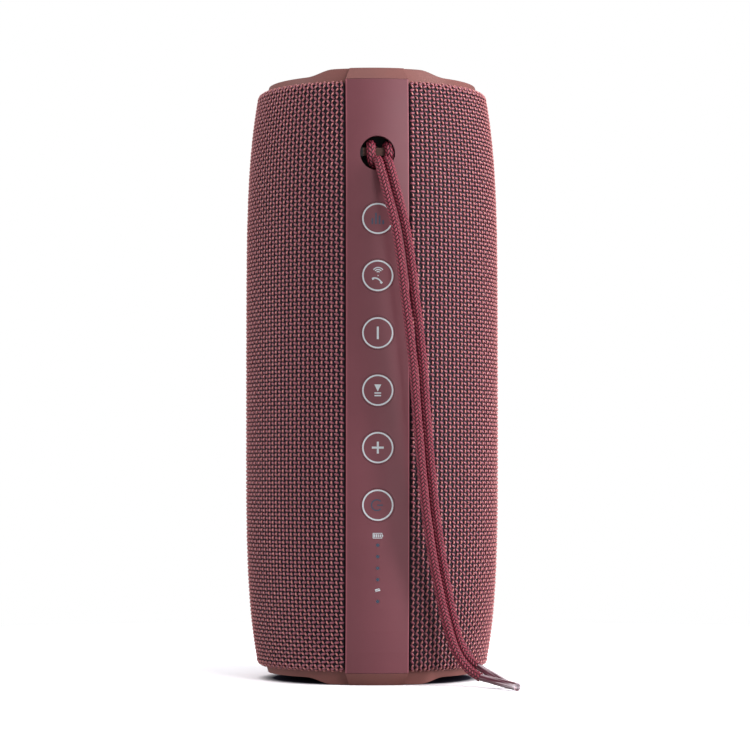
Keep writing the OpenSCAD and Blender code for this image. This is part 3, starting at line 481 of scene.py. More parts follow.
def surface(tree, shader, colour, rough, height, depth):
    """Colour, roughness and bump of a given depth on the shader. The roughness is one number, or a tone and
    the two numbers that it goes between."""
    tree.links.new(colour, shader.inputs["Base Color"])
    if isinstance(rough, float):
        shader.inputs["Roughness"].default_value = rough
    else:
        tone, low, high = rough
        tree.links.new(ranged(tree, tone, out_low=low, out_high=high), shader.inputs["Roughness"])
    bump = wire(tree, "ShaderNodeBump", {"Height": height, "Distance": depth, "Strength": 1.0})
    tree.links.new(bump.outputs[0], shader.inputs["Normal"])


def finish(name, low, high, rough, coarse=120.0, fine=2500.0, share=0.5, depth=0.02 * MM, metallic=0.0,
           **sockets):
    """A moulded, coated or metal surface: colour and roughness wander between two values, over a fine
    grain."""
    made, tree, shader, place = start_material(name, metallic, **sockets)
    mottle = mottled(tree, place, coarse, fine, share)
    tone = mottle.outputs["Tone"]
    wandering = blend_colour(tree, tone, low, high)
    surface(tree, shader, wandering, (tone, *rough), mottle.outputs["Height"], depth)
    return made


def shade(colour, factor):
    """A colour made lighter or darker."""
    return tuple(min(1.0, part * factor) for part in colour)


def strip_material(name, colour):
    """Satin moulded plastic of the strip, rail and keys: fine grain, and a highlight painted as a paler line
    along the edges."""
    made, tree, shader, place = start_material(name, Specular_IOR_Level=0.42)
    mottle = mottled(tree, place, 60.0, 5200.0, 0.35)
    tone = mottle.outputs["Tone"]
    base = blend_colour(tree, tone, shade(colour, 0.93), shade(colour, 1.07))
    x = maths(tree, "ABSOLUTE", wire(tree, "ShaderNodeSeparateXYZ", {0: place}).outputs[0])
    # A highlight painted as a paler line along the strip's two long edges, rising from 0.45 mm in to full at
    # 0.15 mm in
    highlight_start, highlight_full = STRIP_HIGH.x - 0.45 * MM, STRIP_HIGH.x - 0.15 * MM
    painted_edge_highlight = maths(tree, "MULTIPLY", ranged(tree, x, highlight_start, highlight_full), 0.7)
    tone_and_painted_light = blend_colour(tree, painted_edge_highlight, base, shade(colour, 2.3))
    surface(tree, shader, tone_and_painted_light, (tone, 0.44, 0.54), mottle.outputs["Height"], 0.012 * MM)
    return made


def yarn_material(name, colour, painted_shade, glossy):
    """Twisted yarn, with a highlight painted palest on the crest of each knuckle and painted shade where it
    dips: fine plies run slantwise round it, and the dye wanders from thread to thread. The crest is (1 - (2v
    - 1) squared) times the rise of sin 2 pi u."""
    made, tree, shader, place = start_material(name, Specular_IOR_Level=0.7, Sheen_Weight=0.3,
                                               Sheen_Roughness=0.4, Sheen_Tint=(1.0, 0.72, 0.74, 1.0))
    mottle = mottled(tree, place, 520.0, 1900.0)
    map_place = wire(tree, "ShaderNodeUVMap", uv_map=UV_YARN).outputs[0]
    split = wire(tree, "ShaderNodeSeparateXYZ", {0: map_place})
    around, length = split.outputs[0], split.outputs[1]
    slant = maths(tree, "MULTIPLY_ADD", length, PLY_LEAN, maths(tree, "MULTIPLY", around, PLY_ROUND))
    ply = maths(tree, "MULTIPLY_ADD", maths(tree, "SINE", slant), 0.5, 0.5)
    middle = maths(tree, "MULTIPLY_ADD", length, 2.0, -1.0)
    along = maths(tree, "MULTIPLY_ADD", maths(tree, "MULTIPLY", middle, middle), -1.0, 1.0)
    top = maths(tree, "SINE", maths(tree, "MULTIPLY", around, 2 * math.pi))
    # Painted highlight and shade: the crest, the middle of the knuckle on its outward top, takes the pale
    # colour, and the ends and underside take the painted shade
    crest = maths(tree, "MULTIPLY", along, ranged(tree, top, -0.2))
    painted_crest_light = blend_colour(tree, crest, painted_shade, colour)
    tone = maths(tree, "MULTIPLY_ADD", ply, 0.14, maths(tree, "MULTIPLY", mottle.outputs["Tone"], 0.24))
    tone_and_painted_light = blend_colour(tree, tone, painted_crest_light, shade(painted_shade, 0.8))
    surface(tree, shader, tone_and_painted_light, (mottle.outputs["Tone"], glossy, glossy + 0.12), ply, 0.03 * MM)
    return made


def cord_material(cord, stitches):
    """Braided polyester: light strands with shade painted dark in the grooves, and fine plies."""
    made, tree, shader, place = start_material(f"Cord {stitches:.0f} stitches", Specular_IOR_Level=0.42,
                                               Sheen_Weight=0.04, Sheen_Roughness=0.4,
                                               Sheen_Tint=(1.0, 0.7, 0.75, 1.0))
    map_place = wire(tree, "ShaderNodeUVMap", uv_map=UV_BAKE).outputs[0]
    links = {"Vector": map_place, "Carriers": float(cord.carriers), "Stitches": stitches,
             "Slope": cord.slope}
    braid = wire(tree, "ShaderNodeGroup", links, node_tree=shared("Braid"))
    mottle = mottled(tree, place, 700.0, 4000.0)
    tone, ply = mottle.outputs["Tone"], braid.outputs["Ply"]
    # Painted shade: by the braid's height, the colour goes from the light one on the strands' tops to the
    # dark one in the grooves
    base = blend_colour(tree, ranged(tree, braid.outputs["Height"], 0.34, 0.8), cord.dark, cord.light)
    plied = maths(tree, "MULTIPLY_ADD", ply, 0.22, maths(tree, "MULTIPLY", tone, 0.22))
    tone_and_painted_light = blend_colour(tree, plied, base, shade(cord.dark, 2.0))
    surface(tree, shader, tone_and_painted_light, (tone, 0.38, 0.55), ply, 0.03 * MM)
    return made


def tube_material(colour, streak_highlight):
    """Shrunk plum tube over the cord's end: glossy, with pale streaks of painted highlight along it."""
    made, tree, shader, _ = start_material("End tube", 0.35, Coat_Weight=0.8, Coat_Roughness=0.12)
    map_place = wire(tree, "ShaderNodeUVMap", uv_map=UV_BAKE).outputs[0]
    stretched = wire(tree, "ShaderNodeMapping", {0: map_place, 3: (7.0, 0.8, 1.0)})
    links = {"Vector": stretched.outputs[0], "Scale": 1.0, "Detail": 4.0}
    streaks = wire(tree, "ShaderNodeTexNoise", links)
    # Painted highlight: noise stretched along the tube lays pale streaks in its colour
    pale = ranged(tree, streaks.outputs[0], 0.46, 0.56)
    streaked = blend_colour(tree, pale, colour, streak_highlight)
    surface(tree, shader, streaked, 0.28, streaks.outputs[0], 0.08 * MM)
    return made


def disc_material(colour):
    """Turned metal disc: fine rings round its centre."""
    made, tree, shader, place = start_material("Radiator disc", metallic=0.85)
    split = wire(tree, "ShaderNodeSeparateXYZ", {0: place})
    flat = wire(tree, "ShaderNodeCombineXYZ", {0: split.outputs[0], 1: split.outputs[1], 2: 0.0})
    radius = wire(tree, "ShaderNodeVectorMath", {0: flat.outputs[0]}, operation="LENGTH").outputs["Value"]
    turns = maths(tree, "MULTIPLY", radius, 5200.0)
    links = {"W": turns, "Scale": 1.0, "Detail": 3.0}
    rings = wire(tree, "ShaderNodeTexNoise", links, noise_dimensions="1D")
    mottle = mottled(tree, place, 90.0, 1500.0, 0.3)
    wander = maths(tree, "MULTIPLY", mottle.outputs["Tone"], 0.4)
    tone = maths(tree, "MULTIPLY_ADD", rings.outputs[0], 0.6, wander)
    ringed = blend_colour(tree, tone, shade(colour, 0.75), shade(colour, 1.3))
    surface(tree, shader, ringed, (tone, 0.28, 0.46), rings.outputs[0], 0.02 * MM)
    return made


def circuit_material():
    """Green circuit board: solder mask over a lattice of copper tracks."""
    made, tree, shader, place = start_material("Circuit board", Coat_Weight=0.4, Coat_Roughness=0.2)
    lattice = wire(tree, "ShaderNodeTexBrick", {"Vector": place, "Scale": 260.0, "Mortar Size": 0.05,
                                                "Color1": (0, 0, 0, 1), "Color2": (0, 0, 0, 1),
                                                "Mortar": (1, 1, 1, 1)})
    mottle = mottled(tree, place, 200.0, 900.0)
    mask = blend_colour(tree, mottle.outputs["Tone"], (0.006, 0.05, 0.022), (0.01, 0.075, 0.034))
    tracks = blend_colour(tree, lattice.outputs["Color"], mask, (0.05, 0.18, 0.07))
    surface(tree, shader, tracks, 0.38, lattice.outputs["Color"], 0.03 * MM)
    return made


def metal(name, grey, rough):
    """Plain or plated metal with a faint grain."""
    return finish(name, (grey * 0.85,) * 3, (grey * 1.1,) * 3, rough, coarse=200.0, fine=3000.0,
                  depth=0.008 * MM, metallic=1.0)


def rubber(name, level):
    """Matt black rubber with a dusty bloom."""
    return finish(name, (level,) * 3, (level * 2.2,) * 3, (0.68, 0.85), coarse=90.0, fine=3500.0,
                  depth=0.02 * MM, Specular_IOR_Level=0.3)


def paper_material(exposure):
    """Pale paper floor with a plain soft bounce, with a contact shadow painted dark where the speaker stands,
    and pure white further off. From below it is clear, so that the lower end can be seen."""
    made, tree, shader, place = start_material("Paper floor", Specular_IOR_Level=0.0, Roughness=1.0)
    mottle = mottled(tree, place, 8.0, 300.0)
    tone = blend_colour(tree, mottle.outputs["Tone"], (0.5, 0.5, 0.5), (0.53, 0.53, 0.53))
    tree.links.new(tone, shader.inputs["Base Color"])
    away = wire(tree, "ShaderNodeVectorMath", {0: place}, operation="LENGTH").outputs["Value"]
    # A contact shadow painted under the speaker: dark within 31 mm of the axis, gone by 36.5 mm
    contact_shadow_mask = ranged(tree, away, 31 * MM, 36.5 * MM)
    painted_shade = blend_colour(tree, contact_shadow_mask, (0.05, 0.045, 0.07), (exposure, exposure, exposure * 1.04))
    near = wire(tree, "ShaderNodeBsdfDiffuse", {"Color": painted_shade})
    far = wire(tree, "ShaderNodeEmission", {"Color": (1.0, 1.0, 1.0, 1.0), "Strength": 1.0})
    fade = ranged(tree, away, 120 * MM, 350 * MM)
    seen = wire(tree, "ShaderNodeMixShader", {0: fade, 1: near.outputs[0], 2: far.outputs[0]})
    ray = tree.nodes.new("ShaderNodeLightPath").outputs["Is Camera Ray"]
    mixed = wire(tree, "ShaderNodeMixShader", {0: ray, 1: shader.outputs[0], 2: seen.outputs[0]})
    below = tree.nodes.new("ShaderNodeNewGeometry").outputs["Backfacing"]
    clear = tree.nodes.new("ShaderNodeBsdfTransparent")
    sided = wire(tree, "ShaderNodeMixShader", {0: below, 1: mixed.outputs[0], 2: clear.outputs[0]})
    tree.links.new(sided.outputs[0], tree.nodes["Material Output"].inputs["Surface"])
    return made


def slot_materials(body, prints):
    """The finish of every material slot that a CAD node keeps."""
    black = body.black
    return {
        "strip": strip_material("Strip plastic", body.strip),
        "cap": finish("Cap plastic", shade(body.cap, 0.9), shade(body.cap, 1.1), (0.46, 0.6), 70.0, 4200.0,
                      0.4, 0.015 * MM, Specular_IOR_Level=0.4),
        "frame_plastic": finish("Frame plastic", black, shade(black, 1.9), (0.5, 0.66), 80.0, 3200.0),
        "black_plastic": finish("Black plastic", black, shade(black, 1.8), (0.48, 0.62), 80.0, 3000.0),
        "cup_plastic": finish("Cup plastic", shade(black, 0.5), black, (0.5, 0.7), 90.0, 3000.0),
        "window": finish("Window", shade(prints.dark, 0.8), shade(prints.dark, 1.2), (0.2, 0.3), 900.0,
                         4000.0, Coat_Weight=0.6),
        "led": finish("Light emitter", (0.5, 0.46, 0.28), (0.62, 0.58, 0.4), (0.3, 0.4), 600.0, 2500.0),
        "surround_rubber": rubber("Surround rubber", 0.012),
        "seal_rubber": rubber("Seal rubber", 0.016),
        "foot_rubber": rubber("Foot rubber", 0.02),
        "disc_metal": disc_material(body.disc),
        "metal": metal("Plated metal", 0.5, (0.24, 0.38)),
        "bar_metal": finish("Bar metal", (0.085, 0.036, 0.03), (0.14, 0.068, 0.058), (0.35, 0.5), 300.0,
                            depth=0.01 * MM, metallic=0.6),
        "screw_steel": metal("Screw steel", 0.16, (0.3, 0.45)),
        "magnet_steel": metal("Magnet steel", 0.42, (0.35, 0.5)),
        "driver_frame": finish("Driver frame", (0.014,) * 3, (0.03,) * 3, (0.4, 0.6), 100.0, 2400.0),
        "cone_paper": finish("Cone paper", (0.012,) * 3, (0.035,) * 3, (0.75, 0.95), 260.0, 3200.0, 0.7,
                             0.08 * MM),
        "spider_cloth": finish("Spider cloth", (0.42, 0.25, 0.09), (0.56, 0.36, 0.15), (0.8, 0.95), 900.0,
                               5000.0, 0.6, 0.1 * MM),
        "circuit_board": circuit_material(),
        "cell_wrap": finish("Cell wrap", (0.02, 0.13, 0.3), (0.03, 0.17, 0.38), (0.22, 0.32), 60.0, 900.0,
                            0.4, Coat_Weight=0.5),
    }


# ---------------------------------------------------------------- the cloth

def barrel(z, cloth, inset=0.0):
    """Radius of the barrel at a height: the middle radius less drop times |t| to a power, t in -1 to 1."""
    t = np.minimum(1.0, np.abs(z - MID_Z) / HALF_HEIGHT)
    return BODY_RADIUS - inset - cloth.drop * t ** cloth.power


def cloth_line(cloth, steps=240):
    """Meridian of the cloth's face: round the lower roll, up the barrel and round the upper roll. A roll is
    base + roll (sin a, 1 - cos a) for a from 0 to a right angle."""
    turn = np.linspace(0, np.pi / 2, 16)
    base = barrel(CLOTH_Z0 + cloth.roll, cloth) - cloth.roll
    lower = np.stack([base + cloth.roll * np.sin(turn), CLOTH_Z0 + cloth.roll * (1 - np.cos(turn))], axis=1)
    z = np.linspace(CLOTH_Z0 + cloth.roll, CLOTH_Z1 - cloth.roll, steps)[1:-1]
    side = np.stack([barrel(z, cloth), z], axis=1)
    upper = lower[::-1] * [1, -1] + [0, CLOTH_Z0 + CLOTH_Z1]
    return np.vstack([lower, side, upper])


class Meridian:
    """The cloth's line by its length: radius, height and direction at any distance along it."""

    def __init__(self, cloth):
        self.line = cloth_line(cloth)
        steps = np.linalg.norm(np.diff(self.line, axis=0), axis=1)
        self.along = np.concatenate([[0], np.cumsum(steps)])
        self.way = unit(np.gradient(self.line, self.along, axis=0))
        self.length = self.along[-1]

    def at(self, distance):
        """Radius, height, and the line's direction, at distances along it."""
        r, z = (np.interp(distance, self.along, self.line[:, k]) for k in (0, 1))
        dr, dz = (np.interp(distance, self.along, self.way[:, k]) for k in (0, 1))
        return r, z, dr, dz


def knuckle(rings, sides, fullness, dip):
    """A knuckle of yarn, v from -1 to 1 along it and w round it: across by e cos w, up by
    e sin w - dip v v, where e is (1 - |v| to the fullness) to the knuckle power. Gives points
    (along, across, up), faces of three and of four corners, and the (round, along) place of each corner."""
    v = np.linspace(-1, 1, rings + 2)[1:-1][:, None]
    w = (np.arange(sides) * 2 * np.pi / sides)[None, :]
    e = (1 - np.abs(v) ** fullness) ** KNUCKLE_POWER
    body = np.stack(np.broadcast_arrays(v, e * np.cos(w), e * np.sin(w) - dip * v * v), axis=-1)
    points = np.vstack([body.reshape(-1, 3), [[-1, 0, -dip], [1, 0, -dip]]])
    quads = grid_faces(rings, sides, False, True)
    k, after, last = np.arange(sides), (np.arange(sides) + 1) % sides, (rings - 1) * sides
    start_pole = np.full(sides, rings * sides)
    tris = np.vstack([np.stack([start_pole, after, k], 1),
                      np.stack([start_pole + 1, last + k, last + after], 1)])
    round_k, step = k / sides, 1 / sides
    level = (np.concatenate([v[:, 0], [-1, 1]]) + 1) / 2
    low, high = np.repeat(level[:rings - 1], sides), np.repeat(level[1:rings], sides)
    around = np.tile(round_k, rings - 1)
    quad_uv = corner_places(around, around + step, low, high)
    at_start, at_first, at_last, at_end = (np.full(sides, height) for height in (0, level[0], level[-3], 1))
    start_uv = [(round_k + step / 2, at_start), (round_k + step, at_first), (round_k, at_first)]
    end_uv = [(round_k + step / 2, at_end), (round_k, at_last), (round_k + step, at_last)]
    start_uv, end_uv = (np.stack([np.stack(corner, 1) for corner in uv], axis=1) for uv in (start_uv, end_uv))
    return points, tris, quads, np.vstack([start_uv, end_uv]), quad_uv


def weave_mesh(name, cloth, side, columns, warp):
    """All warp or weft knuckles of some columns of one half.

    Rows lie a pitch apart along the meridian and columns at even angles from edge to edge. Warp shows where
    row + column is even, weft where it is odd. Each knuckle stands on three directions: up the meridian,
    round the barrel and outwards. The first two turn with the height, so that the weave leans at the ends,
    and lean the other way behind: by -lean sign(t) |t| to a power, times cos phi over (|cos phi| + soft).
    """
    line = Meridian(cloth)
    rows = int(line.length / cloth.row_pitch)
    i, j = np.meshgrid(np.arange(rows), columns, indexing="ij")
    i, j = (a[(i + j) % 2 == (0 if warp else 1)] for a in (i, j))
    draw = np.random.default_rng(11 if warp else 12)
    wander = draw.normal(0, 1, (len(i), 4))
    distance = (i + 0.5) * line.length / rows + wander[:, 0] * WANDER["place"]
    r, z, dr, dz = line.at(distance)
    start = np.arcsin((CLOTH_EDGE_X + STRIP_GAP) / r)
    phi = start + (np.pi - 2 * start) * (j + 0.5) / cloth.columns
    sin, cos = np.sin(phi), np.cos(phi)
    up = np.stack([side * dr * sin, -dr * cos, dz], 1)
    out = np.stack([side * dz * sin, -dz * cos, -dr], 1)
    across = np.stack([side * cos, sin, np.zeros_like(sin)], 1)
    t = (z - MID_Z) / HALF_HEIGHT
    facing = cos / (np.abs(cos) + LEAN_SOFT) * (1 + LEAN_SOFT)
    lean = -cloth.lean * np.sign(t) * np.abs(t) ** LEAN_POWER * facing
    lean = lean + wander[:, 1] * WANDER["turn"] + (0 if warp else side * cloth.weft_tilt)
    c, s = np.cos(lean)[:, None], np.sin(lean)[:, None]
    up, across = up * c + across * s, across * c - up * s
    grow = 1 + wander[:, 2] * WANDER["length"]
    if warp:
        points, tris, quads, tri_uv, quad_uv = knuckle(5, 6, 2.6, 0.55)
        long, wide = up * (cloth.warp_half * grow)[:, None], across * cloth.warp_wide
        deeper = 0.0
    else:
        points, tris, quads, tri_uv, quad_uv = knuckle(4, 5, 2.4, 0.7)
        long, wide = across * (cloth.weft_half * grow)[:, None], -up * cloth.weft_wide
        deeper = cloth.weft_sunk
    sunk = cloth.thick * 0.9 + deeper + wander[:, 3] * WANDER["depth"]
    centre = np.stack([side * r * sin, -r * cos, z], 1) - out * np.reshape(sunk, (-1, 1))
    if side < 0:
        wide = -wide
    grown = (centre[:, None] + points[None, :, 0:1] * long[:, None] + points[None, :, 1:2] * wide[:, None]
             + points[None, :, 2:3] * out[:, None] * cloth.thick)
    first = np.arange(len(i))[:, None, None] * len(points)
    mesh = mesh_of(name, grown, [(tris[None] + first).reshape(-1, 3), (quads[None] + first).reshape(-1, 4)])
    yarn = [np.tile(uv, (len(i), 1, 1)).reshape(-1, 2) for uv in (tri_uv, quad_uv)]
    set_uv(mesh, UV_YARN, np.vstack(yarn))
    cell = np.stack([(j - columns[0]) / len(columns), i / rows], 1)
    size = np.array([0.9 / len(columns), 0.9 / rows])
    bake = [(cell[:, None, None] + uv[None] * size).reshape(-1, 2) for uv in (tri_uv, quad_uv)]
    set_uv(mesh, UV_BAKE, np.vstack(bake))
    return mesh


def backing_mesh(name, cloth, side):
    """Dark ground of one half: the meridian at two depths, swept from edge to edge, closed all round."""
    line = Meridian(cloth)
    r, z, dr, dz = line.at(np.linspace(0, line.length, 150))
    faces = []
    for depth in (cloth.backing, cloth.backing + cloth.backing_thick):
        inner_r, inner_z = r - dz * depth, z + dr * depth
        start = np.arcsin((CLOTH_EDGE_X + SEAM) / inner_r)
        phi = start[:, None] + (np.pi - 2 * start)[:, None] * np.linspace(0, 1, 97)[None, :]
        faces.append(np.stack([side * inner_r[:, None] * np.sin(phi), -inner_r[:, None] * np.cos(phi),
                               np.broadcast_to(inner_z[:, None], phi.shape)], axis=-1))
    loop = np.concatenate([faces[0], faces[1][::-1]])
    rows, columns = loop.shape[:2]
    ring = grid_faces(rows, columns, True, False)
    half = np.arange(rows // 2 - 1)[:, None] * columns
    mirror = (rows - 1 - np.arange(rows // 2 - 1))[:, None] * columns
    left = np.hstack([half, mirror, mirror - columns, half + columns])
    right = np.hstack([half, half + columns, mirror - columns, mirror]) + columns - 1
    return closed_up(mesh_of(name, loop, [ring, left, right]))


class SPEAKER_OT_cloth(Operator):
    """Weave the cloth of both halves over its dark ground"""

    bl_idname = "speaker.cloth"
    bl_label = "Cloth"

    def execute(self, context):
        cloth = context.scene.speaker_cloth
        ground = finish("Cloth ground", cloth.ground_colour, shade(cloth.ground_colour, 2.0), (0.7, 0.9),
                        300.0, 1600.0, 0.6, 0.1 * MM)
        warp = yarn_material("Warp yarn", cloth.warp_crest_highlight, cloth.warp_painted_shade, 0.3)
        weft = yarn_material("Weft yarn", cloth.weft_crest_highlight, cloth.weft_painted_shade, 0.32)
        middle = cloth.columns // 2
        halves = {"front": np.arange(middle), "back": np.arange(middle, cloth.columns)}
        for word, side in (("left", -1), ("right", 1)):
            for half, columns in halves.items():
                for kind, material in (("warp", warp), ("weft", weft)):
                    name = f"cloth_{kind}_{word}_{half}"
                    mesh = weave_mesh(name, cloth, side, columns, kind == "warp")
                    piece(name, mesh, material, slot="cloth")
            name = f"cloth_ground_{word}"
            sheet = piece(name, backing_mesh(name, cloth, side), ground, slot="cloth",
                          stands_for=[f"fabric_{word}"])
        return {"FINISHED"}


# ---------------------------------------------------------------- the lanyard

def braid_height(u, v, slope):
    """Height of the braid from 0 to 1, the same sum as the Braid group's: u round in columns, v along in
    stitches."""
    odd, along = np.floor(u) % 2, u - np.floor(u)
    level = v + odd / 2 - (1 - 2 * odd) * slope * (along - 0.5)
    across = level - np.floor(level) - 0.5
    return (1 - 4 * across ** 2) * (0.5 + 0.5 * np.sin(np.pi * along))


def cord_mesh(name, cord, route):
    """A braided cord: a tube of circles across a smooth line, whose radius follows the height of the braid.
    Its ends close on the line. Gives the mesh, the line and its length."""
    line, along = smooth_line(np.array(route) * MM, CORD_STEP)
    across, other = carried_frames(line, CORD_FIRST)
    sides = CORD_SIDES
    angle = np.arange(sides) * 2 * np.pi / sides
    u = angle[None, :] / (2 * np.pi) * cord.carriers
    v = along[:, None] / cord.pick
    radius = cord.diameter / 2 - cord.relief * (1 - braid_height(u, v, cord.slope))
    ring = across[:, None] * np.cos(angle)[None, :, None] + other[:, None] * np.sin(angle)[None, :, None]
    points = (line[:, None] + ring * radius[..., None]).reshape(-1, 3)
    rows = len(line)
    quads = grid_faces(rows, sides, False, True)
    k, after = np.arange(sides), (np.arange(sides) + 1) % sides
    base, end = np.full(sides, rows * sides), (rows - 1) * sides
    caps = np.vstack([np.stack([base, after, k], 1), np.stack([base + 1, end + k, end + after], 1)])
    points = np.vstack([points, line[0], line[-1]])
    mesh = mesh_of(name, points, [quads, caps])
    i, j = np.meshgrid(np.arange(rows - 1), k, indexing="ij")
    low, high = along[i.ravel()] / along[-1], along[i.ravel() + 1] / along[-1]
    left, right = j.ravel() / sides, (j.ravel() + 1) / sides
    quad_uv = corner_places(left, right, low, high)
    cap_uv = np.zeros((2 * sides, 3, 2))
    cap_uv[sides:, :, 1] = 1.0
    cap_uv[:, :, 0] = (np.tile(k, 2) / sides)[:, None]
    set_uv(mesh, UV_BAKE, np.vstack([quad_uv.reshape(-1, 2), cap_uv.reshape(-1, 2)]))
    return mesh, line, along[-1]


def tube_mesh(name, start, tip, radius):
    """End tube: an outline of (distance, radius) with a soft lip, a pinched middle and an open end, turned
    about the line from start to tip."""
    start, tip = np.array(start) * MM, np.array(tip) * MM
    long = np.linalg.norm(tip - start)
    way = (tip - start) / long
    across = unit(np.cross(way, [0, 0, 1.0]))
    other = np.cross(way, across)
    s = np.linspace(0, 1, 40)
    pinch = 0.88 + 0.17 * s - 0.05 * np.exp(-((s - 0.25) / 0.05) ** 2)
    outer = np.stack([s * long, radius * pinch], 1)
    lip = [[long - 0.02 * MM, radius * 0.95], [long - 0.15 * MM, radius * 0.82],
           [long - 0.9 * MM, radius * 0.78], [long - 0.95 * MM, 0]]
    outline = np.vstack([[0, 0], [0, radius * 0.84], outer[1:], lip])
    sides = 32
    angle = np.linspace(0, 2 * np.pi, sides + 1)
    wobble = 1 + 0.03 * np.sin(3 * angle)[None, :] + 0.02 * np.sin(2 * angle + 9 * outline[:, :1] / long)
    r = outline[:, 1][:, None] * wobble
    points = (start + way * outline[:, 0][:, None, None] + across * (r * np.cos(angle))[..., None]
              + other * (r * np.sin(angle))[..., None])
    rows = len(outline)
    mesh = mesh_of(name, points, [grid_faces(rows, sides + 1)])
    i, j = np.meshgrid(np.arange(rows - 1), np.arange(sides), indexing="ij")
    i, j = i.ravel(), j.ravel()
    uv = corner_places(j / sides, (j + 1) / sides, i / rows, (i + 1) / rows)
    set_uv(mesh, UV_BAKE, uv.reshape(-1, 2))
    return closed_up(mesh)


class SPEAKER_OT_lanyard(Operator):
    """Braid the hitch and the two strands, and put the tubes on their ends"""

    bl_idname = "speaker.lanyard"
    bl_label = "Lanyard"

    def execute(self, context):
        cord = context.scene.speaker_cord
        tube = tube_material(cord.tube_colour, cord.tube_streak_highlight)
        strands = (("left", LEFT_ROUTE, cord.left_length, LEFT_TIP),
                   ("right", RIGHT_ROUTE, cord.right_length, RIGHT_TIP))
        mesh, _, length = cord_mesh("lanyard_loop", cord, HITCH_ROUTE)
        piece("lanyard_loop", mesh, cord_material(cord, length / cord.pick), slot="cord",
              stands_for=["lanyard_hitch"])
        for side, route, length_said, tip in strands:
            name = f"lanyard_{side}"
            mesh, line, length = cord_mesh(name, cord, route)
            strand = piece(name, mesh, cord_material(cord, length / cord.pick), slot="cord",
                           stands_for=[f"lanyard_strand_{side}"])
            end_mesh = tube_mesh(f"aglet_{side}", route[-1], tip, cord.tube_radius)
            end = piece(f"end_tube_{side}", end_mesh, tube, slot="aglet", stands_for=[f"aglet_{side}"])
        return {"FINISHED"}


# ---------------------------------------------------------------- prints

def face_point(x, z, cloth, proud):
    """A point over the strip's face at x and z: on a circle about the axis, the barrel's radius with the
    strip's height and proud added."""
    radius = barrel(z, cloth) + STRIP_PROUD + proud
    return np.stack([x, -np.sqrt(radius ** 2 - x ** 2), z], axis=-1)


def band(path, widths, cloth, prints, closed=False):
    """A printed stroke: a path of (x, z) with a width at each point, as a closed shell over the face."""
    path, widths = np.asarray(path, float), np.broadcast_to(widths, len(path))
    if closed:
        way = unit(np.roll(path, -1, 0) - np.roll(path, 1, 0))
    else:
        way = unit(np.gradient(path, axis=0))
    normal = np.stack([-way[:, 1], way[:, 0]], 1) * widths[:, None] / 2
    left, right = path + normal, path - normal
    rings = [face_point(p[:, 0], p[:, 1], cloth, d) for p, d in
             ((left, prints.proud), (right, prints.proud), (right, -prints.sunk), (left, -prints.sunk))]
    points = np.stack(rings, axis=1)
    count = len(path)
    faces = grid_faces(count, 4, closed, True)
    if not closed:
        ends = np.array([[0, 1, 2, 3], [4 * count - 1, 4 * count - 2, 4 * count - 3, 4 * count - 4]])
        faces = np.vstack([faces, ends])
    return points.reshape(-1, 3), faces


def stroke(x0, z0, x1, z1, width, width_end=None, steps=6):
    """Path and widths of a straight stroke, in millimetres from the sign's middle."""
    t = np.linspace(0, 1, steps)[:, None]
    path = np.array([[x0, z0]]) * (1 - t) + np.array([[x1, z1]]) * t
    widths = width + ((width if width_end is None else width_end) - width) * t[:, 0]
    return path, widths, False


def arc(radius, start, end, width, centre=(0.0, 0.0), steps=24):
    """Path and widths of a round stroke between two angles in degrees."""
    a = np.radians(np.linspace(start, end, steps))
    path = np.stack([centre[0] + radius * np.cos(a), centre[1] + radius * np.sin(a)], 1)
    return path, np.full(steps, width), False


def print_piece(name, strokes, x, z, material, context, body="housing"):
    """A sign made of strokes, set on the face at x and z."""
    cloth, prints = context.scene.speaker_cloth, context.scene.speaker_prints
    points, faces, used = [], [], 0
    for path, widths, closed in strokes:
        p, f = band(path * MM + [x, z], widths * MM, cloth, prints, closed)
        points.append(p)
        faces.append(f + used)
        used += len(p)
    mesh = closed_up(mesh_of(name, np.vstack(points), [np.vstack(faces)], smooth=False))
    return piece(name, mesh, material, body=body)


def key_signs(width):
    """Strokes of each key's sign, in millimetres from its middle: level meter, answer, quieter, play and
    pause, louder, power."""
    thin = width * 0.62
    handset = [arc(2.42, 25, 97, thin * 1.1, (-1.1, -3.15)), stroke(-1.75, -1.0, -1.1, -0.85, 0.62),
               stroke(0.85, -1.85, 1.3, -2.35, 0.66), stroke(-0.05, 0.0, 0.25, 0.0, 0.3)]
    waves = [arc(0.5 + 0.62 * k, 35, 145, thin * 0.8, (0.1, 0.75), 10) for k in range(3)]
    meter = [stroke(-1.65 + 1.1 * k, -1.75, -1.65 + 1.1 * k, top, thin * 1.3)
             for k, top in enumerate((0.1, 1.75, 0.9, -0.5))]
    return {
        "mode": ("dark", meter),
        "call": ("light", handset + waves),
        "volume_down": ("light", [stroke(0, -1.9, 0, 1.9, width)]),
        "play": ("light", [stroke(0, 1.75, 0, -0.35, 2.1, 0.05), stroke(-1.0, -0.85, 1.0, -0.85, thin),
                           stroke(-1.0, -1.65, 1.0, -1.65, thin)]),
        "volume_up": ("light", [stroke(-1.8, 0, 1.8, 0, width), stroke(0, -1.8, 0, -width / 2, width),
                                stroke(0, width / 2, 0, 1.8, width)]),
        "power": ("dark", [arc(1.62, 42, 318, thin), stroke(0.1, 0, 1.85, 0, thin)]),
    }


